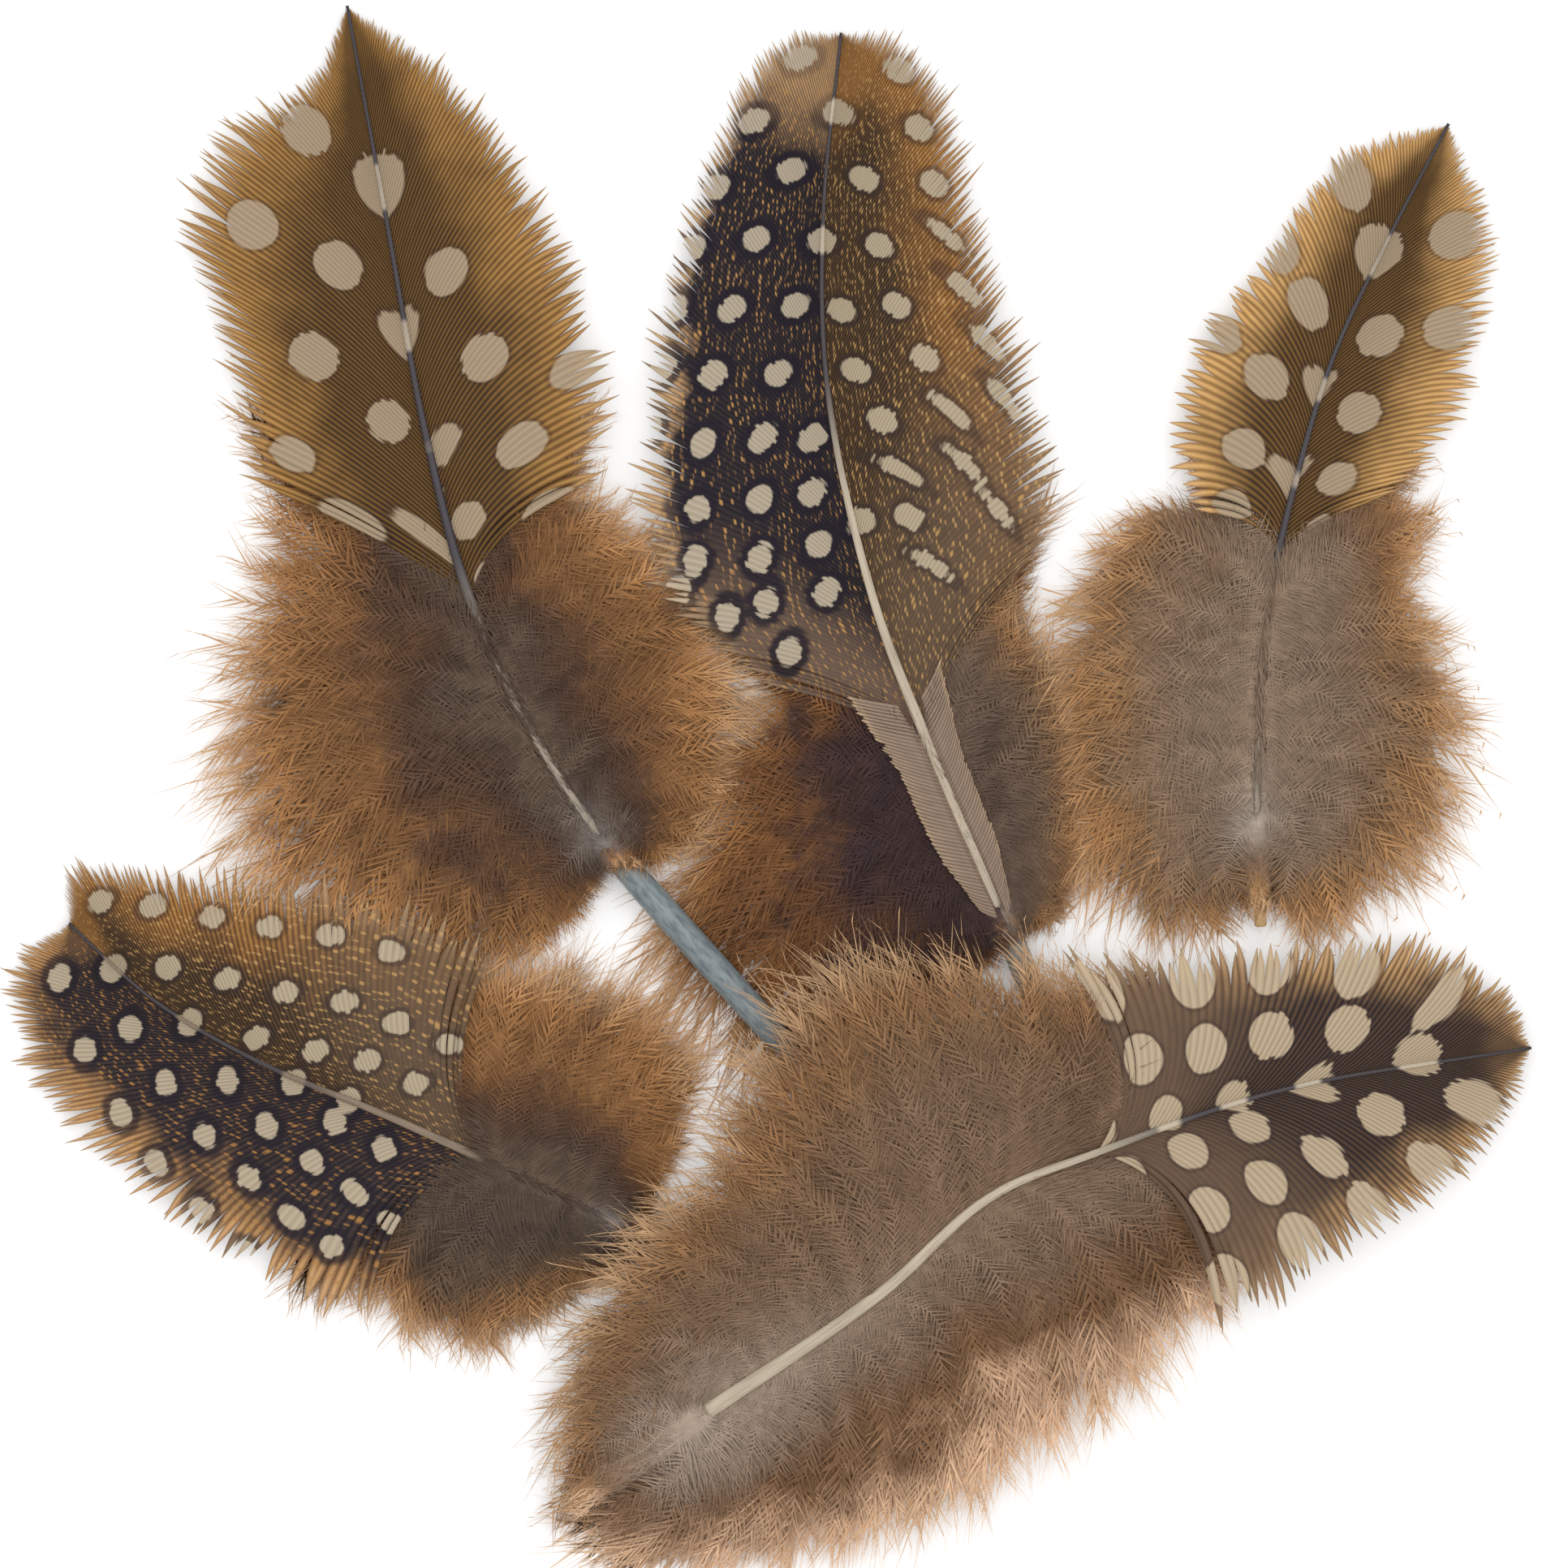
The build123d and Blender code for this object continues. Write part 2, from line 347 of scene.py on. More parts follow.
class Effects:
    """The shader groups that several finishes share, each made once."""

    def __init__(self) -> None:
        """Makes the groups."""
        self.ribs = self._group("barb_ribs", {"Side": 0.0, "Reach": 0.0}, ("Ridge", "Relief"), self._ribs)
        self.marks = self._group(
            "spot_marks", {"Distance": 1.0, "Softness": 0.1, "Halo Width": 0.5}, ("Spot", "Halo"), self._marks
        )
        speckle_inputs = {"Reach": 0.0, "Barb": 0.0, "Side": 0.0, "Pitch": 0.4, "Fill": 0.5}
        self.speckle = self._group("fine_speckle", speckle_inputs, ("Dots",), self._speckle)
        fibre_inputs = {"Random": 0.0, "Reach": 0.0, "Amount": 0.3}
        self.fibre = self._group("fibre_variation", fibre_inputs, ("Shade",), self._fibre)

    @staticmethod
    def _group(
        name: str, inputs: dict[str, float], outputs: Sequence[str], fill: Callable[[Graph, Any, Any], None]
    ) -> NodeTree:
        """Makes a group with number sockets.

        Args:
            name: The group's name.
            inputs: Default values by socket name.
            outputs: Output socket names.
            fill: Writes the nodes between the two.

        Returns:
            The group.
        """
        tree = bpy.data.node_groups.new(name, "ShaderNodeTree")
        for label, value in inputs.items():
            socket = tree.interface.new_socket(label, in_out="INPUT", socket_type="NodeSocketFloat")
            socket.default_value = value
        for label in outputs:
            tree.interface.new_socket(label, in_out="OUTPUT", socket_type="NodeSocketFloat")
        graph = Graph(tree)
        fill(graph, graph.node("NodeGroupInput").outputs, graph.node("NodeGroupOutput").inputs)
        return tree

    @staticmethod
    def _ribs(graph: Graph, given: Any, result: Any) -> None:
        """The raised rib of each barb, with its fine barbules slanting off it."""
        aside = graph.math("ABSOLUTE", given["Side"])
        ridge = graph.ramp(aside, 0.15, 0.85, 1.0, 0.0)
        slant = graph.fit(aside, 1.6, graph.times(given["Reach"], 34.0))
        barbules = graph.math("SINE", slant)
        relief = graph.fit(barbules, 0.12, ridge)
        # Ridge also masks the vanes' painted shade between the barbs and the painted light on each spot's rib.
        graph.feed(result["Ridge"], ridge)
        graph.feed(result["Relief"], relief)

    @staticmethod
    def _marks(graph: Graph, given: Any, result: Any) -> None:
        """A spot and the dark ring round it, from the distance to the spot's edge."""
        low = graph.times(given["Softness"], -1.0)
        graph.feed(result["Spot"], graph.ramp(given["Distance"], low, given["Softness"], 1.0, 0.0))
        outer = graph.times(given["Halo Width"], 2.2)
        graph.feed(result["Halo"], graph.ramp(given["Distance"], given["Halo Width"], outer, 1.0, 0.0))

    @staticmethod
    def _speckle(graph: Graph, given: Any, result: Any) -> None:
        """Short dashes along each barb, gathered in a broken net."""
        slow = graph.vector(graph.times(given["Reach"], 0.45), graph.times(given["Barb"], 0.13))
        scrambled = graph.times(graph.math("SINE", graph.times(given["Barb"], 12.99)), 43.7)
        own = graph.math("FRACT", scrambled)
        bend = graph.fit(own, 0.4, graph.times(graph.noise(slow, 1.0, 2.0), 4.0))
        turn = graph.plus(bend, graph.math("DIVIDE", given["Reach"], given["Pitch"]))
        wave = graph.math("PINGPONG", turn, 0.5)
        dash = graph.ramp(wave, 0.3, 0.42)
        narrow = graph.ramp(graph.math("ABSOLUTE", given["Side"]), 0.5, 0.95, 1.0, 0.0)
        where = graph.vector(given["Reach"], graph.times(given["Barb"], 0.5))
        patch = graph.noise(where, 1.9, 2.0)
        bare = graph.math("SUBTRACT", 1.0, given["Fill"])
        net = graph.ramp(patch, graph.math("SUBTRACT", bare, 0.08), graph.plus(bare, 0.08))
        graph.feed(result["Dots"], graph.times(graph.times(dash, narrow), net))

    @staticmethod
    def _fibre(graph: Graph, given: Any, result: Any) -> None:
        """Each barb or strand a little lighter or darker than the next, and along its length."""
        where = graph.vector(graph.times(given["Random"], 37.0), graph.times(given["Reach"], 0.35))
        swing = graph.times(graph.math("SUBTRACT", graph.noise(where, 1.0), 0.5), 2.0)
        graph.feed(result["Shade"], graph.fit(swing, given["Amount"], 1.0))


def new_material(name: str) -> tuple[Material, Graph, Node]:
    """An empty node material with its Principled shader.

    Args:
        name: The material's name.

    Returns:
        The material, its graph and the shader node.
    """
    made = bpy.data.materials.new(name)
    made.use_nodes = True
    return made, Graph(made.node_tree), made.node_tree.nodes["Principled BSDF"]


def scaled(graph: Graph, colour: Any, shade: Any) -> Socket:
    """A colour made lighter or darker by a number."""
    return graph.mix(1.0, colour, graph.vector(shade, shade, shade), "MULTIPLY")


def add_bump(graph: Graph, shader: Node, height: Any, distance: float, strength: float) -> None:
    """Feeds a height to the shader's normal.

    Args:
        graph: The material's graph.
        shader: The Principled shader.
        height: The height.
        distance: How tall 1 is, in metres.
        strength: The bump's strength.
    """
    bump = graph.node("ShaderNodeBump")
    graph.adjust(bump, Distance=distance, Strength=strength)
    graph.feed(bump.inputs["Height"], height)
    graph.feed(shader.inputs["Normal"], bump.outputs[0])


BLACK = (0, 0, 0)
PALE_ENDS = (222, 188, 148)


@dataclass(frozen=True)
class VaneFinish:
    """The colours of a closed vane's barbs.

    The mesh carries two attributes: "lie" is the distance along the barb in millimetres, the share of the
    way up the vane, and the share of the way out to the rim; "mark" is the distance to the nearest spot's
    edge, the place across the barb from -1 to 1, and the barb's number.

    Attributes:
        name: The material's name.
        ridge: The colour of a barb's raised middle.
        shaded_groove: The colour between two barbs, partly their own darker edges and partly painted shade
            between the raised ribs.
        rim_ridge: The ridge's colour near the rim.
        rim_shaded_groove: The same colour near the rim, with the same painted shade between the ribs.
        spot: The large spots' colour.
        halo: The colour of the dark ring round a spot.
        dots: The fine speckle's colour, where there is some.
        rim_from: The share of the way out where the rim's colours begin.
        halo_width: The dark ring's width, in millimetres.
        halo_depth: How strong the ring is.
        fill: How much of the ground the fine speckle covers.
        faded: The colour of the lowest barbs, where they are faded.
        fade_below: The share of the way up where the fading ends.
        crown_from: The share of the way up where the rim's colours begin.
        crown: How strong they are there.
    """

    name: str
    ridge: RGB
    shaded_groove: RGB
    rim_ridge: RGB
    rim_shaded_groove: RGB
    spot: RGB
    halo: RGB
    dots: RGB = BLACK
    rim_from: float = 0.45
    halo_width: float = 0.1
    halo_depth: float = 0.5
    fill: float = 0.0
    faded: RGB = BLACK
    fade_below: float = 0.0
    crown_from: float = 0.88
    crown: float = 0.3

    def build(self, effects: Effects) -> Material:
        """Makes the material.

        Args:
            effects: The shared groups.

        Returns:
            The material.
        """
        made, graph, shader = new_material(self.name)
        reach, upward, outward = graph.attribute("lie")
        distance, across, barb = graph.attribute("mark")
        ribs = graph.use(effects.ribs, Side=across, Reach=reach)
        marks = graph.use(effects.marks, Distance=distance, Softness=SPOT_SOFTNESS, Halo_Width=self.halo_width)
        shade = graph.use(effects.fibre, Random=barb, Reach=reach, Amount=0.32).outputs[0]
        drift = graph.noise(graph.place(), 260.0, 4.0)
        edge = graph.plus(outward, graph.fit(drift, 0.5, -0.25))
        rim = graph.ramp(edge, self.rim_from, 0.95)
        height = graph.plus(upward, graph.times(outward, 0.2))
        height = graph.plus(height, graph.fit(drift, 0.16, -0.08))
        topmost = graph.ramp(height, self.crown_from, self.crown_from + 0.16)
        crown = graph.times(topmost, self.crown)
        rim = graph.math("MAXIMUM", rim, crown)
        # The colour between the raised ribs is partly the barbs' own darker edges and partly painted shade,
        # darker where the ribs would shade the grooves.
        ridge = graph.mix(rim, self.ridge, self.rim_ridge)
        shaded_groove = graph.mix(rim, self.shaded_groove, self.rim_shaded_groove)
        body = graph.mix(ribs.outputs["Ridge"], shaded_groove, ridge)
        if self.fade_below > 0:
            fade = graph.ramp(upward, self.fade_below * 0.25, self.fade_below, 1.0, 0.0)
            body = graph.mix(graph.times(fade, 0.8), body, self.faded)
        body = scaled(graph, body, shade)
        weaker = graph.fit(crown, -0.75, 1.0)
        halo = graph.times(graph.times(marks.outputs["Halo"], self.halo_depth), weaker)
        if self.fill > 0:
            speckle = graph.use(
                effects.speckle, Reach=reach, Barb=barb, Side=across, Pitch=SPECKLE_PITCH, Fill=self.fill
            )
            open_ground = graph.math("SUBTRACT", 1.0, marks.outputs["Halo"])
            dots = graph.times(speckle.outputs[0], open_ground)
            body = graph.mix(graph.times(dots, 0.85), body, self.dots)
        body = graph.mix(halo, body, self.halo)
        # Painted light and shade on the spots: lighter on each barb's raised rib and darker towards its edges.
        light = graph.fit(ribs.outputs["Ridge"], 0.16, 0.88)
        spot = scaled(graph, self.spot, light)
        body = graph.mix(graph.times(marks.outputs["Spot"], 0.93), body, spot)
        further = graph.times(graph.ramp(upward, 0.7, 1.0), 0.08)
        ends = graph.ramp(graph.plus(outward, further), 0.84, 1.04)
        body = graph.mix(graph.times(ends, 0.38), body, PALE_ENDS)
        graph.feed(shader.inputs["Base Color"], body)
        rough = graph.fit(drift, 0.2, 0.5)
        graph.feed(shader.inputs["Roughness"], rough)
        graph.adjust(shader, Specular_IOR_Level=CLEAR_SPECULAR, Sheen_Weight=0.04)
        add_bump(graph, shader, ribs.outputs["Relief"], 0.00006, 0.6)
        return made


@dataclass(frozen=True)
class DownFinish:
    """The colours of loose down, from the shaft to the rim.

    The mesh carries "lie": the share of the way out to the rim, the share of the way up the downy base,
    and the strand's random number.

    Attributes:
        name: The material's name.
        inner: The colour near the shaft.
        middle: The colour halfway out.
        rim: The colour near the rim.
        dark: The colour of the patches and of the ring halfway out.
        pale_root: The colour at the shaft's base.
        inner_until: The share of the way out where the middle's colour takes over.
        rim_from: The share of the way out where the rim's colour takes over.
        mottle: How strong the dark patches are.
        ring: How strong the dark ring is.
        root_until: How far the pale root reaches, as a share.
    """

    name: str
    inner: RGB
    middle: RGB
    rim: RGB
    dark: RGB
    pale_root: RGB
    inner_until: float = 0.35
    rim_from: float = 0.7
    mottle: float = 0.5
    ring: float = 0.15
    root_until: float = 0.5

    def build(self, effects: Effects) -> Material:
        """Makes the material.

        Args:
            effects: The shared groups.

        Returns:
            The material.
        """
        made, graph, shader = new_material(self.name)
        outward, upward, random = graph.attribute("lie")
        place = graph.place()
        wide = graph.noise(place, 150.0, 3.0)
        fine = graph.noise(place, 1400.0, 2.0)
        wander = graph.plus(outward, graph.fit(wide, 0.7, -0.35))
        outer = graph.ramp(wander, self.inner_until * 0.5, self.inner_until * 1.5)
        colour = graph.mix(outer, self.inner, self.middle)
        colour = graph.mix(graph.ramp(wander, self.rim_from - 0.2, self.rim_from + 0.2), colour, self.rim)
        ring = graph.times(graph.ramp(wander, 0.16, 0.34), graph.ramp(wander, 0.42, 0.66, 1.0, 0.0))
        colour = graph.mix(graph.times(ring, self.ring), colour, self.dark)
        patches = graph.ramp(graph.noise(place, 230.0, 4.0), 0.54, 0.7)
        colour = graph.mix(graph.times(patches, self.mottle), colour, self.dark)
        low = graph.ramp(graph.plus(outward, upward), 0.0, self.root_until, 0.85, 0.0)
        colour = graph.mix(low, colour, self.pale_root)
        ends = graph.ramp(outward, 0.86, 1.06, 0.0, 0.45)
        colour = graph.mix(ends, colour, PALE_ENDS)
        reach = graph.times(outward, 9.0)
        shade = graph.use(effects.fibre, Random=random, Reach=reach, Amount=0.4).outputs[0]
        speck = graph.fit(fine, 0.5, 0.75)
        graph.feed(shader.inputs["Base Color"], scaled(graph, colour, graph.times(shade, speck)))
        graph.feed(shader.inputs["Roughness"], graph.fit(wide, 0.2, 0.7))
        graph.adjust(shader, Specular_IOR_Level=0.1, Sheen_Weight=0.12, Sheen_Roughness=0.6)
        return made


@dataclass(frozen=True)
class HornFinish:
    """Smooth horn with faint streaks along it, as on the quill and the shaft.

    Attributes:
        name: The material's name.
        base: The main colour.
        streak: The streaks' colour.
        tip: The colour at the far end, which takes over from tip_from, a share of the length.
        tip_from: Where it takes over. Above 1 it never does.
        roughness: The surface's roughness.
        along: Whether the streaks follow the mesh's own length, which it carries as "lie".
    """

    name: str
    base: RGB
    streak: RGB
    tip: RGB = BLACK
    tip_from: float = 1.1
    roughness: float = 0.35
    along: bool = True

    def build(self, effects: Effects) -> Material:
        """Makes the material.

        Args:
            effects: The shared groups; not used.

        Returns:
            The material.
        """
        made, graph, shader = new_material(self.name)
        place = graph.place()
        grain = graph.noise(place, 900.0, 4.0)
        cloud = graph.noise(place, 260.0, 3.0)
        if self.along:
            reach, around, spot = graph.attribute("lie")
            where = graph.vector(graph.times(reach, 9.0), graph.times(around, 5.0))
            grain = graph.noise(where, 2.0, 5.0, 0.65)
        streaks = graph.ramp(grain, 0.42, 0.66)
        colour = graph.mix(graph.times(streaks, 0.7), self.base, self.streak)
        colour = scaled(graph, colour, graph.fit(cloud, 0.5, 0.75))
        if self.along:
            dark = graph.ramp(reach, self.tip_from - 0.08, self.tip_from + 0.08)
            clear = graph.ramp(spot, -0.1, 0.3)
            colour = graph.mix(graph.times(dark, clear), colour, self.tip)
        graph.feed(shader.inputs["Base Color"], colour)
        graph.feed(shader.inputs["Roughness"], graph.fit(grain, 0.25, self.roughness - 0.1))
        graph.adjust(shader, Specular_IOR_Level=HORN_SPECULAR)
        add_bump(graph, shader, grain, 0.00004, 0.35)
        return made


# ----------------------------------------
# Lines and bows


class SmoothLine:
    """A smooth flat line through a few points, met again by its share of the length."""

    def __init__(self, points: Sequence[Point]) -> None:
        """Works the line out.

        Args:
            points: The points, in millimetres.
        """
        given = np.array(points, float)
        padded = np.vstack([2 * given[0] - given[1], given, 2 * given[-1] - given[-2]])
        t = np.linspace(0, 1, LINE_STEPS, endpoint=False)[:, None]
        runs = []
        for a, b, c, d in zip(padded, padded[1:], padded[2:], padded[3:]):
            bend = 2 * a - 5 * b + 4 * c - d
            runs.append(0.5 * (2 * b + (c - a) * t + bend * t**2 + (3 * b - a - 3 * c + d) * t**3))
        self.points = np.vstack([*runs, given[-1:]])
        steps = np.linalg.norm(np.diff(self.points, axis=0), axis=1)
        self.run = np.concatenate([[0.0], np.cumsum(steps)])
        self.length = float(self.run[-1])

    def at(self, share: Array | float) -> Array:
        """The points at shares of the length."""
        distance = np.clip(share, 0, 1) * self.length
        return np.stack([np.interp(distance, self.run, self.points[:, axis]) for axis in (0, 1)], axis=-1)

    def heading(self, share: Array | float) -> Array:
        """The directions at shares of the length."""
        ahead = self.at(np.clip(share + 0.01, 0, 1)) - self.at(np.clip(share - 0.01, 0, 1))
        return ahead / np.linalg.norm(ahead, axis=-1, keepdims=True)

    def share_of(self, index: int) -> float:
        """The share of the length at one of the given points."""
        return float(self.run[index * LINE_STEPS] / self.length)


def turned(direction: Array, angle: Array | float) -> Array:
    """Flat directions turned anticlockwise.

    Args:
        direction: The directions.
        angle: The angles, in radians.

    Returns:
        The turned directions.
    """
    cos, sin = np.cos(angle), np.sin(angle)
    x, y = direction[..., 0], direction[..., 1]
    return np.stack([x * cos - y * sin, x * sin + y * cos], axis=-1)


def left_of(direction: Array) -> Array:
    """Flat directions turned a quarter to the left."""
    return np.stack([-direction[..., 1], direction[..., 0]], axis=-1)


def unit(vectors: Array) -> Array:
    """Vectors of length 1."""
    return vectors / np.maximum(np.linalg.norm(vectors, axis=-1, keepdims=True), TINY)


def bent(root: Array, middle: Array, tip: Array, share: Array) -> Array:
    """Flat points on bent lines.

    Args:
        root: Where the lines start.
        middle: The points that they bend towards.
        tip: Where they end.
        share: How far along each point is.

    Returns:
        The points.
    """
    q = share[..., None]
    return root * (1 - q) ** 2 + middle * 2 * q * (1 - q) + tip * q**2


@dataclass
class Bow:
    """How high a feather's shaft is over the surface, from its quill's end to its tip."""

    start: Point
    end: Point
    heights: tuple[float, float, float]

    def height(self, points: Array) -> Array:
        """The heights over flat points.

        Args:
            points: The points, in millimetres.

        Returns:
            The heights, in millimetres.
        """
        run = np.subtract(self.end, self.start)
        share = ((points - np.array(self.start)) @ run) / float(run @ run)
        low, middle, high = self.heights
        ends = low * (1 - share) * (1 - 2 * share)
        return ends + middle * 4 * share * (1 - share) + high * share * (2 * share - 1)


# ----------------------------------------
# Mesh building


def mesh_from(bm: bmesh.types.BMesh, name: str) -> Mesh:
    """Writes a bmesh to a new mesh and frees it."""
    mesh = bpy.data.meshes.new(name)
    bm.to_mesh(mesh)
    bm.free()
    return mesh


def corners(mesh: Mesh) -> Array:
    """The mesh's vertices, one row of three for each."""
    flat = np.zeros(len(mesh.vertices) * 3, np.float64)
    mesh.vertices.foreach_get("co", flat)
    return flat.reshape(-1, 3)


def repeated(pattern: Mesh, times: int, name: str) -> Mesh:
    """A mesh that holds a pattern several times over.

    Args:
        pattern: The pattern's mesh.
        times: How many there are.
        name: The new mesh's name.

    Returns:
        The mesh.
    """
    bm = bmesh.new()
    for _ in range(times):
        bm.from_mesh(pattern)
    return mesh_from(bm, name)


def write_attribute(mesh: Mesh, name: str, values: Array) -> None:
    """Stores three numbers for each vertex."""
    made = mesh.attributes.new(name, "FLOAT_VECTOR", "POINT")
    made.data.foreach_set("vector", np.ascontiguousarray(values, np.float32).ravel())


def write_shape(mesh: Mesh, places: Array) -> None:
    """Moves the vertices, turns the faces up and shades them smooth.

    Args:
        mesh: The mesh.
        places: The vertices' places, in millimetres.
    """
    mesh.vertices.foreach_set("co", np.ascontiguousarray(places * MM, np.float32).ravel())
    mesh.update()
    normals = np.zeros(len(mesh.polygons) * 3, np.float32)
    mesh.polygons.foreach_get("normal", normals)
    if normals.reshape(-1, 3)[:, 2].mean() < 0:
        mesh.flip_normals()
    mesh.polygons.foreach_set("use_smooth", np.ones(len(mesh.polygons), bool))
    mesh.update()


def strip_pattern() -> Mesh:
    """A barb's strip: across is x from -1 to 1 with a rib in the middle, and along is y from 0 to 1."""
    bm = bmesh.new()
    bmesh.ops.create_grid(bm, x_segments=2, y_segments=BARB_STEPS, size=1.0)
    bmesh.ops.translate(bm, vec=(0, 1, 0), verts=bm.verts)
    bmesh.ops.scale(bm, vec=(1, 0.5, 1), verts=bm.verts)
    return mesh_from(bm, "strip_pattern")


def plume_pattern(random: np.random.Generator, barbule: float, width: float, lift: float) -> Mesh:
    """A strand of down along x from 0 to 1, with its barbules standing off both sides in millimetres.

    Args:
        random: The seeded source of the barbules' lengths.
        barbule: Their mean length, in millimetres.
        width: The strand's width, in millimetres.
        lift: How far they rise and fall, in millimetres.

    Returns:
        The pattern's mesh.
    """
    bm = bmesh.new()
    bmesh.ops.create_grid(bm, x_segments=PLUME_STEPS, y_segments=1, size=0.5)
    bmesh.ops.translate(bm, vec=(0.5, 0, 0), verts=bm.verts)
    bmesh.ops.scale(bm, vec=(1, width, 1), verts=bm.verts)
    for sign in (1, -1):
        picked = []
        for edge in bm.edges:
            middle = (edge.verts[0].co + edge.verts[1].co) / 2
            index = round(middle.x * PLUME_STEPS - 0.5)
            if edge.is_boundary and middle.y * sign > width * 0.3 and index % 2 == (sign > 0):
                picked.append(edge)
        for stage, reach in enumerate((0.55, 0.45)):
            grown = bmesh.ops.extrude_edge_only(bm, edges=picked)["geom"]
            fresh = {item for item in grown if isinstance(item, bmesh.types.BMVert)}
            picked = [
                item for item in grown if isinstance(item, bmesh.types.BMEdge) and set(item.verts) <= fresh
            ]
            for edge in picked:
                length = barbule * reach * random.uniform(0.5, 1.5)
                forward = length * random.uniform(0.7, 1.9) * BARBULE_LEAN
                rise = random.normal(0, lift) * reach
                centre = (edge.verts[0].co + edge.verts[1].co) / 2
                pinch = 0.3 if stage == 0 else 0.2
                for vertex in edge.verts:
                    aside = centre + (vertex.co - centre) * pinch
                    vertex.co = aside + Vector((forward, sign * length, rise))
    return mesh_from(bm, "plume_pattern")


# ----------------------------------------
# The feather


@dataclass(frozen=True)
class Spot:
    """One large spot: its place in the spread and its two radii, along and across the barbs."""

    x: float
    y: float
    along: float
    across: float


def large_spots(rows: Sequence[tuple[float, float, float, float]]) -> list[Spot]:
    """Spots of their own sizes, from a place and two radii each."""
    return [Spot(*row) for row in rows]


def small_spots(places: Sequence[Point], along: float = 0.74, across: float = 0.98) -> list[Spot]:
    """Small spots of one size."""
    return [Spot(x, y, along, across) for x, y in places]


